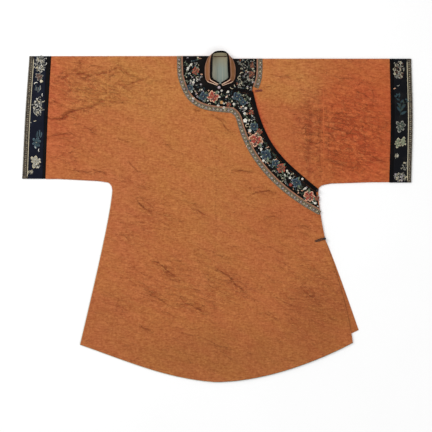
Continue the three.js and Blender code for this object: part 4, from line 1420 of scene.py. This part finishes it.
# The lining in the neck, and its edge that peeks out along the left side and the hem
lining_outline = offset(foot_line[:, :2], -NECK_INSET - 0.5)
lining_outline[:, 1] += 3.6 * smoothstep(lining_outline[:, 1], 515, 534)
neck_lining = panel("neck_lining_cloth", lining_outline, level_top(LAYER + TRIM), TRIM)
dress(neck_lining, LINING, "lining", "neck_lining")


LINING_TUCK = 3
LINING_PEEK = 1.6


def lining_edge():
    """A thin strip of lining, most of it hidden between the front and the back."""
    line = dense(np.vstack([LEFT_SIDE[::-1][3:], HEM[::-1][1:]]), 6)
    inner, outer = offset(line, LINING_TUCK), offset(line, -LINING_PEEK)
    low, high = LAYER - 0.22, LAYER - 0.06
    lift = lap_lift(line)
    rings = []
    for edge, z in ((inner, low), (outer, low), (outer, high + 0.5 * lift), (inner, high)):
        rings.append(np.column_stack([edge, np.zeros(len(edge)) + z]))
    verts = np.stack(rings, axis=1).reshape(-1, 3)
    faces = ring_faces(len(line), 4, closed_ends=True)
    return new_object("lining_edge", verts, faces)


hem_edge = dress(lining_edge(), LINING, "lining")


for side, (sleeve, seam) in sleeves.items():
    wrist = cuff_line(side, "seam")
for side, pieces in cuffs.items():
    for name, start, end, *_ in CUFF_BANDS:
        edges = (cuff_line(side, start), cuff_line(side, end))

# The collar and its trims, through ribs worked out from the table
rise_line = rim_line - foot_line
along = np.gradient(foot_line, axis=0) + np.gradient(rim_line, axis=0)
outward = np.cross(rise_line, along)
outward /= np.linalg.norm(outward, axis=1, keepdims=True)
level = outward * (1, 1, 0)
level /= np.linalg.norm(level, axis=1, keepdims=True)
across = level / np.sum(level * outward, axis=1, keepdims=True)
COLLAR_SHARE = 0.72
COLLAR_WALL = 1.8


def collar_shell(name, places):
    """A closed band round the neck: each place gives a share of the rise and a distance out."""
    rings = np.stack([foot_line + rise_line * up + across * out for up, out in places], axis=1)
    faces = ring_faces(len(foot_line), len(places), closed_ends=True)
    return new_object(name, rings.reshape(-1, 3), faces)


def collar_places():
    """The collar's section: up its outer face and down its inner one."""
    up = np.linspace(0.02, COLLAR_SHARE - 0.02, 9)
    belly = 0.5 * np.sin(np.pi * up / COLLAR_SHARE)
    outer = [(0, -0.3), *zip(up, belly), (COLLAR_SHARE, -0.3)]
    return outer + [(u, o - COLLAR_WALL + 0.3) for u, o in outer[::-1]]


FRONT_RIBS = 15


def near_throat(rib):
    return rib < FRONT_RIBS or rib > len(foot_line) - 2 - FRONT_RIBS


def paint_collar(piece, size, outer, throat, inner=None):
    """Gives a collar piece one cloth outside, another on its slanting fronts and one on its inner half."""
    for material in (outer, throat, inner or outer):
        piece.data.materials.append(material)
    for index, face in enumerate(piece.data.polygons):
        rib, place = divmod(index, size)
        lining_side = inner is not None and place < size // 2
        face.material_index = 2 if lining_side and place > 1 else int(near_throat(rib) or lining_side)
    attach(piece, "root")


places = collar_places()[::-1]
collar = collar_shell("collar_cloth", places)
paint_collar(collar, len(places), COLLAR_SILK, MAROON_SILK, LINING)
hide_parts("collar")

HALF_BINDING = 1.7
BINDING_FOOT = 0.71
BINDING_RISE = 0.29
round_binding = [
    (BINDING_FOOT + BINDING_RISE * (0.5 - 0.5 * math.cos(a)), HALF_BINDING * math.sin(a) - COLLAR_WALL / 2)
    for a in np.linspace(0, 2 * math.pi, 14, endpoint=False)
]
collar_binding = collar_shell("collar_binding_cloth", round_binding[::-1])
dress(collar_binding, BLACK_BINDING, "black_satin", "collar_binding")


CORD_OUT = 1.6
CORD_HALF_DEPTH = 1.2
CORD_HALF_HEIGHT = 1.8
THREAD_STEP = 0.4


def collar_piping(name, from_foot, share, node_name):
    """A cord of cloth round the collar, at a share of its rise and a distance from there."""
    upward = rise_line / np.linalg.norm(rise_line, axis=1, keepdims=True)
    middle = foot_line + rise_line * share + upward * from_foot + outward * CORD_OUT
    turns = np.linspace(0, 2 * math.pi, 12, endpoint=False)
    ways = [(outward * math.cos(a) * CORD_HALF_DEPTH, upward * math.sin(a) * CORD_HALF_HEIGHT) for a in turns]
    rings = np.stack([middle + out + up for out, up in ways], axis=1)
    faces = ring_faces(len(foot_line), len(turns), closed_ends=True)
    thread = np.tile(np.arange(len(turns)) * THREAD_STEP, len(foot_line))
    piece = new_object(name, rings.reshape(-1, 3), faces, thread=thread)
    paint_collar(piece, len(turns), PINK_PIPING, PALE_PIPING)
    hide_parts(node_name)


collar_piping("collar_piping_foot_cord", 3.4, 0, "collar_piping_foot")
collar_piping("collar_piping_rim_cord", -1.9, COLLAR_SHARE, "collar_piping_rim")


# Embroidery: petals, leaves, stems and knots, gathered by thread colour and joined into one mesh each
ROUND = 1.35
FULL_RINGS = [(8, 1, 0.66, 0), (6, 0.7, 0.68, 0.3), (4, 0.42, 0.7, 0.6)]
OPEN_RINGS = [(6, 1, 0.52, 0), (4, 0.5, 0.6, 0.3)]


class Needlework:
    def __init__(self, surface, dimmed=None):
        self.surface = surface
        self.dimmed = dimmed or {}
        self.parts = {}

    def patch(self, colour, rows, thread):
        """A raised patch from rows of (x, y, rise), closed below along its edge."""
        count, width = rows.shape[:2]
        faces = []
        for r in range(count - 1):
            for c in range(width - 1):
                a = r * width + c
                faces.append((a, a + 1, a + width + 1, a + width))
        rim = list(range(width)) + [r * width + width - 1 for r in range(1, count)]
        rim += [(count - 1) * width + c for c in range(width - 2, -1, -1)]
        rim += [r * width for r in range(count - 2, 0, -1)]
        faces.append(tuple(reversed(rim)))
        colour = self.dimmed.get(colour, colour)
        self.parts.setdefault(colour, []).append((rows.reshape(-1, 3), faces, thread.reshape(-1)))

    def petal(self, colour, x, y, turn, length, width, rise=0.5, notch=0.0, base=0.0, fullness=0.6):
        """A petal or leaf from its root at x, y, pointing along turn, in degrees."""
        fine = length > 7
        along = np.linspace(0, 1, 6 if fine else 4)[:, None]
        side = np.linspace(-1, 1, 5 if fine else 3)[None, :]
        half = 0.5 * width * np.sin(np.pi * along**fullness) ** 0.8 + 0.12
        reach = length * along * (1 - notch * np.exp(-((side / 0.45) ** 2)) * along**3)
        u, v = reach + 0 * side, half * side
        angle = math.radians(turn)
        px = x + u * math.cos(angle) - v * math.sin(angle)
        py = y + u * math.sin(angle) + v * math.cos(angle)
        dome = base + rise * (1 - side**2) * np.sin(np.pi * np.clip(along, 0.06, 0.94)) ** 0.5
        self.patch(colour, np.stack([px, py, dome + 0 * px], axis=2)[:, ::-1], (v + 0 * u)[:, ::-1])

    def rimmed_petal(self, rim, body, x, y, turn, length, width, base=0.0):
        """A petal of one colour with a pale outline of another."""
        self.petal(rim, x, y, turn, length, width, 0.3, 0.16, base, ROUND)
        angle = math.radians(turn)
        root = (x + 0.08 * length * math.cos(angle), y + 0.08 * length * math.sin(angle))
        self.petal(body, *root, turn, length * 0.74, width * 0.68, 0.45, 0.16, base + 0.2, ROUND)

    def stem(self, colour, line, width=0.9, rise=0.45, steps=3):
        line = smooth_curve(line, steps)
        edges = [offset(line, width / 2), line, offset(line, -width / 2)]
        heights = [np.full(len(line), z) for z in (0.02, rise, 0.02)]
        rows = np.stack([np.column_stack(pair) for pair in zip(edges, heights)], axis=1)
        self.patch(colour, rows[:, ::-1], np.arange(len(line))[:, None] * 0.35 + np.zeros((1, 3)))

    def knot(self, colour, x, y, size=2.2, base=0.0):
        self.petal(colour, x - size / 2, y, 0, size, size, 0.7, 0, base, 0.75)

    def comma(self, colour, x, y, size, turn, width=2.6):
        """A short bent petal."""
        angles = np.radians(turn + np.array([0, 35, 70, 105]))
        line = [(x + math.cos(a) * size / 2, y + math.sin(a) * size / 2) for a in angles]
        self.stem(colour, line, width, 0.6)

    def curl(self, colour, x, y, size, turn, width=1.8):
        """A scroll of thread."""
        line = []
        for k in range(8):
            angle = math.radians(turn + k * 42)
            radius = size * (1 - k * 0.09) * 0.5
            line.append((x + math.cos(angle) * radius, y + math.sin(angle) * radius))
        self.stem(colour, line, width, 0.5, 2)

    def blossom(self, x, y, size, turn, colour, heart="amber", petals=5):
        for k in range(petals):
            self.petal(colour, x, y, turn + k * 360 / petals, size * 0.5, size * 0.4, 0.5, 0.2, 0, ROUND)
        self.knot(heart, x, y, size * 0.2, 0.4)

    def flower(self, x, y, reach_x, reach_y, turn, rim, bodies, heart="amber", rings=FULL_RINGS):
        """A flower in rings of outlined petals, as wide and as tall as its reach says."""
        for index, (count, share, width, base) in enumerate(rings):
            for k in range(count):
                angle = turn + 21 * index + k * 360 / count + 8 * math.sin(4.7 * k + x)
                way = math.radians(angle)
                reach = share / math.hypot(math.cos(way) / reach_x, math.sin(way) / reach_y)
                reach *= 1 + 0.12 * math.sin(3.1 * k + y)
                body = bodies[(k + index) % len(bodies)]
                self.rimmed_petal(rim, body, x, y, angle, reach, reach * width, base)
        for k in range(3):
            angle = math.radians(turn + 120 * k)
            self.knot(heart, x + 1.3 * math.cos(angle), y + 1.3 * math.sin(angle), 1.8, 0.9)

    def leaf(self, x, y, turn, length, colour="leaf", vein="moss"):
        self.petal(colour, x, y, turn, length, length * 0.38, 0.4, 0, 0, 0.75)
        if length > 7:
            angle = math.radians(turn)
            tip = (x + math.cos(angle) * length * 0.92, y + math.sin(angle) * length * 0.92)
            self.stem(vein, [(x, y), tip], 0.5, 0.6)

    def spray(self, x, y, length, turn, leaf="leaf", stalk="moss", bud="white", leaves=5, curl=18):
        """A bending stalk, centred on x and y, with leaves on both sides and buds at its end."""
        angle, step = turn - curl * leaves / 2, length / leaves
        middle = math.radians(turn)
        line = [(x - math.cos(middle) * length / 2, y - math.sin(middle) * length / 2)]
        for k in range(leaves):
            angle += curl
            (px, py), way = line[-1], math.radians(angle)
            line.append((px + math.cos(way) * step, py + math.sin(way) * step))
            self.leaf(*line[-1], angle + (48 if k % 2 else -48), length * (0.36 - 0.03 * k), leaf, stalk)
        self.stem(stalk, line)
        for side in (-30, 8, 46):
            way = math.radians(angle + side)
            px = line[-1][0] + math.cos(way) * length * 0.1
            py = line[-1][1] + math.sin(way) * length * 0.1
            self.petal(bud, px, py, angle + side, length * 0.13 + 1.2, length * 0.09 + 1.1, 0.5)

    def make(self, name, slot_name):
        for colour in sorted(self.parts):
            verts, faces, thread = joined(self.parts[colour])
            ground = self.surface(verts[:, :2])[0]
            lifted = np.column_stack([verts[:, :2], ground + verts[:, 2] + 0.05])
            piece = new_object(f"{name}_{colour}", lifted, faces, thread=thread)
            dress(piece, THREADS[colour], slot_name)


# What is sewn on the border: kind, place, size and turn
Motif = namedtuple("Motif", "kind x y size turn")
BORDER_MOTIFS = table(
    Motif,
    ("twig", -104, 516, 22, -70), ("white", -100, 500, 11, 10), ("twig", -108, 482, 24, 40),
    ("rust", -74, 491, 26, 20), ("white", -90, 512, 9, 0), ("buds", -60, 468, 22, 30),
    ("curl", -68, 466, 12, 30), ("blue", -94, 433, 26, 10), ("twig", -104, 458, 24, -30),
    ("white", -82, 452, 11, 12), ("white", -82, 398, 11, 40), ("green", -78, 478, 22, 120),
    ("white", 14, 424, 9, 0), ("white", 36, 420, 10, 22), ("green", 18, 406, 24, 10),
    ("blue", -48, 404, 32, 15), ("peony", -15, 403, 42, 12), ("blue", 66, 404, 30, 30),
    ("blue", 87, 384, 24, 0), ("rust", 38, 377, 16, 10), ("amber", 14, 384, 14, 10),
    ("white", 2, 372, 11, 20), ("white", 22, 366, 11, 50), ("green", 42, 396, 22, 170),
    ("white", 56, 378, 11, 33), ("buds", 44, 362, 18, -20), ("curl", -28, 376, 11, 0),
    ("twig", 102, 404, 22, -70), ("white", 96, 364, 11, 18), ("twig", 110, 376, 24, -100),
    ("rust", 114, 350, 18, 0), ("white", 92, 346, 11, 40), ("twig", 100, 334, 24, -80),
    ("white", 94, 322, 16, 15), ("curl", 100, 304, 14, 20), ("blue", 124, 302, 30, 40),
    ("white", 110, 288, 13, 0), ("peony", 130, 257, 50, 30), ("rust", 142, 284, 20, 0),
    ("green", 112, 236, 22, 200), ("green", 162, 244, 24, -40), ("blue", 165, 206, 38, 12),
    ("white", 148, 226, 11, 25), ("white", 156, 186, 11, 5), ("twig", 178, 186, 24, -20),
    ("blue", 196, 178, 26, -40), ("rust", 216, 161, 34, 8), ("green", 192, 204, 24, -50),
    ("twig", 214, 138, 26, -30), ("white", 236, 152, 9, 30), ("twig", 232, 134, 24, 20),
    ("blue", 268, 112, 34, 22), ("white", 246, 128, 11, 10), ("red", 248, 104, 14, 0),
    ("white", 288, 124, 9, 5), ("green", 284, 98, 22, -60), ("peony", 311, 66, 42, 50),
    ("green", 288, 76, 22, 190), ("white", 298, 92, 9, 0), ("rust", 338, 58, 18, 40),
    ("white", 332, 42, 11, 15), ("twig", 316, 42, 20, -20),
)
YOKE_MOTIFS = table(
    Motif,
    ("white", 86, 528, 7, 0), ("twig", 104, 516, 22, 80), ("white", 92, 502, 7, 20),
    ("rust", 117, 508, 20, 10), ("rust", 116, 480, 26, 40), ("white", 108, 460, 12, 15),
    ("buds", 92, 478, 20, 30), ("curl", 74, 466, 14, 40), ("twig", 92, 456, 26, 10),
    ("comma", 50, 436, 12, 200), ("comma", 62, 442, 10, 160), ("green", 110, 446, 22, 30),
    ("white", 124, 452, 9, 0), ("curl", 78, 444, 12, 10), ("comma", 84, 478, 16, 60),
)
FLOWER_COLOURS = {
    "peony": ("blush", ["red", "brown", "red", "rust"], "amber"),
    "blue": ("sky", ["blue", "teal", "blue"], "cream"),
    "rust": ("rose", ["brown", "rust", "brown"], "amber"),
}


# A spray's thread colours, its number of leaves and its curl
SPRAYS = {
    "twig": ("leaf", "silver", "white", 5, 16),
    "green": ("moss", "leaf", "blush", 4, -14),
    "buds": ("silver", "lilac", "blush", 4, 22),
}


def sew(work, motif):
    """Sews one motif of the border or the yoke."""
    kind, x, y, size, turn = motif
    if kind in FLOWER_COLOURS:
        for k in range(3):
            work.leaf(x, y, turn + 40 + 120 * k, size * 0.66, "moss" if k % 2 else "leaf", "moss")
        work.flower(x, y, size / 2, size / 2, turn, *FLOWER_COLOURS[kind])
    elif kind in SPRAYS:
        work.spray(x, y, size, turn, *SPRAYS[kind])
    elif kind == "curl":
        work.curl("cream", x, y, size, turn, 2.0)
    elif kind == "comma":
        work.comma("cream", x, y, size, turn)
    else:
        work.blossom(x, y, size, turn, kind)


def sew_small(work, draw, x, y, colours):
    """One of the small things between the flowers: a curl, a sprig, a blossom or a knot."""
    colour, other = draw.choice(colours), draw.choice(colours)
    turn, choice = draw.uniform(0, 360), draw.random()
    if choice < 0.34:
        work.curl(colour, x, y, draw.uniform(5, 8.5), turn)
    elif choice < 0.56:
        work.spray(x, y, draw.uniform(9, 13), turn, colour, other, other, 3, draw.choice([-24, 24]))
    elif choice < 0.76:
        work.blossom(x, y, draw.uniform(5, 8), turn, colour, other)
    elif choice < 0.9:
        work.comma(colour, x, y, draw.uniform(5, 9), turn, 2.2)
    else:
        work.knot(colour, x, y, draw.uniform(2.4, 4))


def scatter(work, draw, region, taken, count, apart, colours):
    """Sews small things all over a region, clear of what is sewn there already."""
    low, high = region.min(0), region.max(0)
    tries = [(draw.uniform(low[0], high[0]), draw.uniform(low[1], high[1])) for _ in range(14 * count)]
    tries = points(*tries)
    for x, y in tries[inside(tries, region)]:
        if all(math.hypot(x - a, y - b) > reach for a, b, reach in taken):
            taken.append((x, y, apart))
            sew_small(work, draw, x, y, colours)


SMALL_COLOURS = [
    "cream", "white", "silver", "white", "leaf", "sky", "blush", "moss", "cream", "teal", "lilac",
]
PLAIN_BY_COLLAR = 22


def embroider(name, surface, outline, motifs, count, plain, dimmed=None):
    """Sews the motifs and fills the ground between them, but for a plain part beside the collar."""
    work = Needlework(surface, dimmed)
    for motif in motifs:
        sew(work, motif)
    region = inset(tidy_outline(outline, 5.0), 5.0)
    taken = [(motif.x, motif.y, motif.size * 0.46) for motif in motifs]
    taken += [(x, y, plain) for x, y in foot_line[::3, :2]]
    scatter(work, random.Random(SEED + count), region, taken, count, 5.6, SMALL_COLOURS)
    work.make(name, "black_satin")


embroider("border_stitch", satin_top, satin_outline, BORDER_MOTIFS, 420, PLAIN_BY_COLLAR)
YOKE_DIMMED = {
    "white": "silver", "blush": "rust", "red": "brown", "rose": "brown", "leaf": "moss", "sky": "teal",
}
embroider("yoke_stitch", yoke_top, yoke_outline, YOKE_MOTIFS, 90, 14, YOKE_DIMMED)

# What is sewn on the cuffs: kind, middle, reach both ways and thread colours
Cluster = namedtuple("Cluster", "kind x y reach_x reach_y colours")
PALE = ("cream", "silver", "white", "silver")
CUFF_CLUSTERS = {
    "left": table(
        Cluster,
        ("curls", -601, 514, 17, 30, PALE), ("flower", -606, 472, 15, 15, ("silver", "brown")),
        ("disc", -598, 456, 6, 6, ("cream",)), ("comma", -615, 444, 6, 8, ("white",)),
        ("streaks", -612, 430, 7, 14, ("sky", "silver")), ("comma", -590, 410, 5, 6, ("white",)),
        ("comma", -593, 392, 5, 6, ("cream",)), ("curls", -610, 368, 15, 30, PALE),
        ("comma", -622, 326, 5, 6, ("cream",)), ("comma", -634, 310, 4, 6, ("silver",)),
        ("streaks", -608, 276, 7, 16, ("teal", "sky")), ("flower", -615, 248, 16, 22, ("sky", "teal")),
        ("comma", -612, 234, 6, 7, ("white",)), ("comma", -602, 222, 5, 6, ("white",)),
        ("flower", -619, 184, 17, 24, ("cream", "silver")), ("curls", -612, 178, 10, 18, PALE),
        ("streaks", -637, 148, 6, 10, ("cream", "silver")),
    ),
    "right": table(
        Cluster,
        ("curls", 617, 494, 18, 30, ("silver", "silver", "brown", "cream")),
        ("comma", 612, 446, 5, 6, ("silver",)), ("comma", 603, 427, 4, 5, ("blush",)),
        ("spray", 622, 368, 17, 34, ("teal", "moss")), ("flower", 622, 304, 18, 24, ("silver", "moss")),
        ("flower", 612, 244, 10, 20, ("cream", "leaf")), ("flower", 630, 250, 11, 18, ("cream", "leaf")),
        ("streaks", 607, 202, 4, 10, ("cream", "silver")),
        ("curls", 637, 168, 7, 14, ("silver", "cream", "silver")),
        ("curls", 620, 132, 20, 14, ("silver", "silver", "cream", "lilac")),
    ),
}


def sew_cluster(work, draw, cluster):
    """Sews one group of stitches on a cuff."""
    kind, x, y, reach_x, reach_y, colours = cluster
    if kind == "flower":
        rim, body = colours
        work.flower(x, y, reach_x, reach_y, 15, rim, [body], "cream", OPEN_RINGS)
    elif kind == "disc":
        work.knot(colours[0], x, y, 2 * reach_x)
    elif kind == "comma":
        work.comma(colours[0], x, y, 2 * reach_y, draw.choice([60, 130, 240]), 2.6)
    elif kind == "spray":
        leaf, stalk = colours
        work.spray(x - 3, y, 2 * reach_y, 90, leaf, stalk, leaf, 7, 6)
        work.spray(x + 6, y, 1.4 * reach_y, 70, stalk, leaf, leaf, 5, -12)
    elif kind == "streaks":
        for k in range(6):
            dx = reach_x * (k - 2.5) / 2.5
            high = y + reach_y * draw.uniform(0.3, 1)
            line = [(x + dx, y - reach_y * draw.uniform(0.3, 1)), (x + 1.3 * dx + 2, y), (x + dx + 3, high)]
            work.stem(colours[k % 2], line, 2.2, 0.5)
    else:
        turns = np.linspace(0, 2 * math.pi, 16, endpoint=False)
        region = np.column_stack([x + reach_x * np.cos(turns), y + reach_y * np.sin(turns)])
        scatter(work, draw, region, [], int(reach_x * reach_y / 3), 4.6, colours)


def add_cuff_work(side):
    """The embroidery of a cuff's satin band and the lines of its ribbon."""
    work = Needlework(inner_top)
    draw = random.Random(SEED)
    for cluster in CUFF_CLUSTERS[side]:
        sew_cluster(work, draw, cluster)
    ribbon_lines(work, side)
    work.make(f"cuff_{side}_stitch", "navy_satin")


def ribbon_lines(work, side):
    """Pale lines along both edges of the ribbon, and a dotted one down its middle."""
    inner, outer = cuff_line(side, "ribbon"), cuff_line(side, "end")
    for share, colour, width in ((0.09, "cream", 2.4), (0.93, "silver", 1.4)):
        work.stem(colour, resample(inner * (1 - share) + outer * share, 60)[1:-1], width, 0.5)
    middle = resample(inner * 0.5 + outer * 0.5, 64)[1:-1]
    for k, (x, y) in enumerate(middle):
        work.petal("cream" if k % 3 else "silver", x, y - 2.2, 90, 3.6, 2.2, 0.5)
        work.petal("silver", x + 4.2 * (1 - 2 * (k % 2)), y - 1.5, 90, 2.4, 1.0, 0.35)


for side in CUFFS:
    add_cuff_work(side)

# Florets woven into the silver ribbon
FLORET_STEP = 12.5


def ribbon_florets(name, line, layer):
    """Small flowers with two leaves each along a ribbon, between a thin line at each of its edges."""
    work = Needlework(raised(layer, GAP + TRIM))
    length = np.sum(np.linalg.norm(np.diff(line, axis=0), axis=1))
    spots = resample(line, max(3, int(length / FLORET_STEP)))
    ways = np.gradient(spots, axis=0)
    for k, ((x, y), (dx, dy)) in enumerate(zip(spots[1:-1], ways[1:-1])):
        turn = math.degrees(math.atan2(dy, dx))
        work.blossom(x, y, 7.8, turn + 20 * (k % 2), "cream" if k % 2 else "lilac", "brown", 4)
        for side in (-1, 1):
            px = x + dx * 0.42 + -dy * side * 0.14
            py = y + dy * 0.42 + dx * side * 0.14
            work.petal("silver" if side < 0 else "leaf", px, py, turn + side * 34, 5.4, 2.4, 0.4)
    for side in (-1, 1):
        work.stem("silver", offset(resample(line, 120), side * (RIBBON / 2 - 1.6)), 0.8, 0.35)
    work.make(name, "silver_ribbon")


left, right = clipped(offset(BORDER_EDGE, 0), offset(BORDER_EDGE, RIBBON), flap_region)
ribbon_florets("ribbon_stitch", (left + right) / 2, outer_top)
left, right = clipped(offset(YOKE_EDGE, 0), offset(YOKE_EDGE, RIBBON), yoke_region)
ribbon_florets("yoke_ribbon_stitch", (left + right) / 2, inner_top)


# A narrow welt of silk covers each sleeve's seam, and small stitches run along the hem and the sides
HALF_WELT = 2.2
WELT_RISE = 0.22
WELT_SHORTER = 4
STITCH_STEP = 5.5


def seam_welt(side):
    x, top_y, low_y = SIDES[side].seam_x, SIDES[side].top_y, SIDES[side].underarm_y
    line = points((x, low_y + WELT_SHORTER), (x, top_y - WELT_SHORTER))
    left, right = offset(line, HALF_WELT), offset(line, -HALF_WELT)
    below = raised(inner_top, -GAP - 0.05)
    dress(band(f"sleeve_{side}_welt", left, right, below, WELT_RISE, ROUND_PROFILE), SILK, "silk")


for side in SIDES:
    seam_welt(side)


def running_stitches(work, line, colour, inward):
    """A row of small stitches beside a line."""
    line = offset(line, inward)
    length = np.sum(np.linalg.norm(np.diff(line, axis=0), axis=1))
    spots = resample(line, int(length / STITCH_STEP))
    for (x, y), (dx, dy) in zip(spots[1:-1], np.gradient(spots, axis=0)[1:-1]):
        work.petal(colour, x, y, math.degrees(math.atan2(dy, dx)), 2.8, 0.7, 0.25)


hem_stitches = Needlework(outer_top)
running_stitches(hem_stitches, HEM[::-1], "rust", 9)
running_stitches(hem_stitches, LEFT_SIDE[::-1], "rust", 6)
running_stitches(hem_stitches, RIGHT_SIDE, "rust", -6)
hem_stitches.make("hem_stitch", "silk")


# Button, knots and loops of cord
def cord(name, line, radius, material, slot, *nodes):
    """A round cord along a smooth line of points, with rounded ends."""
    line = smooth_curve(line, 6)
    way = np.gradient(line, axis=0)
    way /= np.linalg.norm(way, axis=1, keepdims=True)
    side = np.cross(way, (0, 0, 1.0))
    side /= np.maximum(np.linalg.norm(side, axis=1, keepdims=True), 1e-6)
    up = np.cross(side, way)
    turns = np.linspace(0, 2 * math.pi, 10, endpoint=False)
    taper = np.minimum(1, 0.35 + 0.65 * np.sin(np.linspace(0, math.pi, len(line))) * 4)[:, None] * radius
    rings = np.stack([line + (side * math.cos(a) + up * math.sin(a)) * taper for a in turns], axis=1)
    faces = ring_faces(len(line), len(turns), closed_ends=True)
    piece = new_object(name, rings.reshape(-1, 3), faces)
    return dress(piece, material, slot, *nodes)


def bead(name, x, y, z, radius, material, slot, *nodes, squash=1.0, ridges=0.0):
    """A ball button or knot, with low ridges where it is plaited."""
    rows, size = 18, 28
    rings = []
    for k in range(rows + 1):
        tilt = math.pi * min(max(k / rows, 0.02), 0.98)
        for m in range(size):
            turn = 2 * math.pi * m / size
            r = radius * (1 + ridges * math.sin(3 * turn + 5 * tilt) * math.sin(tilt))
            rings.append((
                x + r * math.sin(tilt) * math.cos(turn),
                y + r * math.sin(tilt) * math.sin(turn),
                z + squash * r * math.cos(tilt),
            ))
    faces = ring_faces(rows + 1, size, closed_ends=True)
    return dress(new_object(name, rings, faces), material, slot, *nodes)


ON_TRIM = 2 * LAYER + WALL + GAP + TRIM + GAP
BUTTON_X, BUTTON_Y = 5.5, 434
THROAT_CORD = 1.1
RED_CORD_RADIUS = 1.2
SIDE_CORD = 1.25
KNOT_RADIUS = 4.2
KNOT_FORM = {"squash": 0.85, "ridges": 0.08}

bead("throat_ball", BUTTON_X, BUTTON_Y, ON_TRIM + 5.6, 5.0, PEARL, "pearl", "throat_button")
throat_z = ON_TRIM + THROAT_CORD
throat_ring = [
    (BUTTON_X + 4.7 * math.cos(a), BUTTON_Y + 4.7 * math.sin(a), throat_z)
    for a in np.linspace(-2.6, 2.9, 14)
]
throat_route = [(-10, 438, throat_z), (-4, 436.4, throat_z), *throat_ring]
cord("throat_cord", throat_route, THROAT_CORD, BLACK_CORD, "black_cord", "throat_loop")

corner_z = float(inner_top(points((149, 425)))[0][0]) + GAP + RED_CORD_RADIUS
corner_route = [
    (x, y, corner_z)
    for x, y in (
        (126, 420.4), (140, 421.7), (149, 422.9), (151, 425), (148, 426.8), (138, 425.6), (127, 424),
    )
]
cord("corner_cord", corner_route, RED_CORD_RADIUS, RED_CORD, "red_cord", "corner_loop")
knot_z = ON_TRIM + 4
bead("underarm_ball", 338, 84, knot_z, KNOT_RADIUS, BLACK_CORD, "black_cord", "underarm_knot", **KNOT_FORM)

side_z = 2 * LAYER + WALL + GAP + 1.2
side_route = [
    (329, -90.2, side_z), (344, -86, side_z), (358, -82, side_z), (362, -79, side_z + 0.6),
    (357, -77.6, side_z), (343, -81.6, side_z), (329, -86, side_z),
]
cord("side_cord", side_route, SIDE_CORD, BLACK_CORD, "black_cord", "side_loop")
bead("side_ball", 364, -78.5, side_z + 2.6, KNOT_RADIUS, BLACK_CORD, "black_cord", **KNOT_FORM)


# The floor and the studio light
FLOOR_HALF_SIDE = 6.0
FLOOR_BELOW = 0.0004
FLOOR_SHADE = (0.9, 0.9, 0.9, 1)
FLOOR_LIGHT = (0.93, 0.93, 0.93, 1)


def add_floor():
    corners = [(x * FLOOR_HALF_SIDE, y * FLOOR_HALF_SIDE, 0) for x, y in ((-1, -1), (1, -1), (1, 1), (-1, 1))]
    mesh = bpy.data.meshes.new("floor")
    mesh.from_pydata(corners, [], [(0, 1, 2, 3)])
    floor = bpy.data.objects.new("floor", mesh)
    floor.location = (0, 0, -FLOOR_BELOW)
    bpy.context.scene.collection.objects.link(floor)
    material, tree, shader, vector = new_material("pale_floor")
    grain = noise(tree, vector, 3.0)
    tree.links.new(mix_colour(tree, grain, FLOOR_SHADE, FLOOR_LIGHT), shader.inputs["Base Color"])
    finish(shader, 0.9, 0.0, (1, 1, 1, 1), 0.1)
    floor.data.materials.append(material)


def add_area_light(name, place, size, power):
    data = bpy.data.lights.new(name, "AREA")
    data.shape = "SQUARE"
    data.size = size
    data.energy = power
    light = bpy.data.objects.new(name, data)
    light.location = place
    light.rotation_euler = (-Vector(place)).to_track_quat("-Z", "Y").to_euler()
    bpy.context.scene.collection.objects.link(light)


def add_light():
    """A white world, a key light from the upper left and a softer fill from the lower right."""
    world = bpy.data.worlds.new("studio")
    world.use_nodes = True
    background = world.node_tree.nodes["Background"]
    background.inputs["Color"].default_value = (1, 1, 1, 1)
    background.inputs["Strength"].default_value = 0.75
    bpy.context.scene.world = world
    add_area_light("key_light", (-2.2, 1.6, 2.4), 1.6, 62)
    add_area_light("fill_light", (2.4, -1.8, 2.6), 2.4, 24)


add_floor()
add_light()
bpy.context.scene.view_settings.view_transform = "Standard"
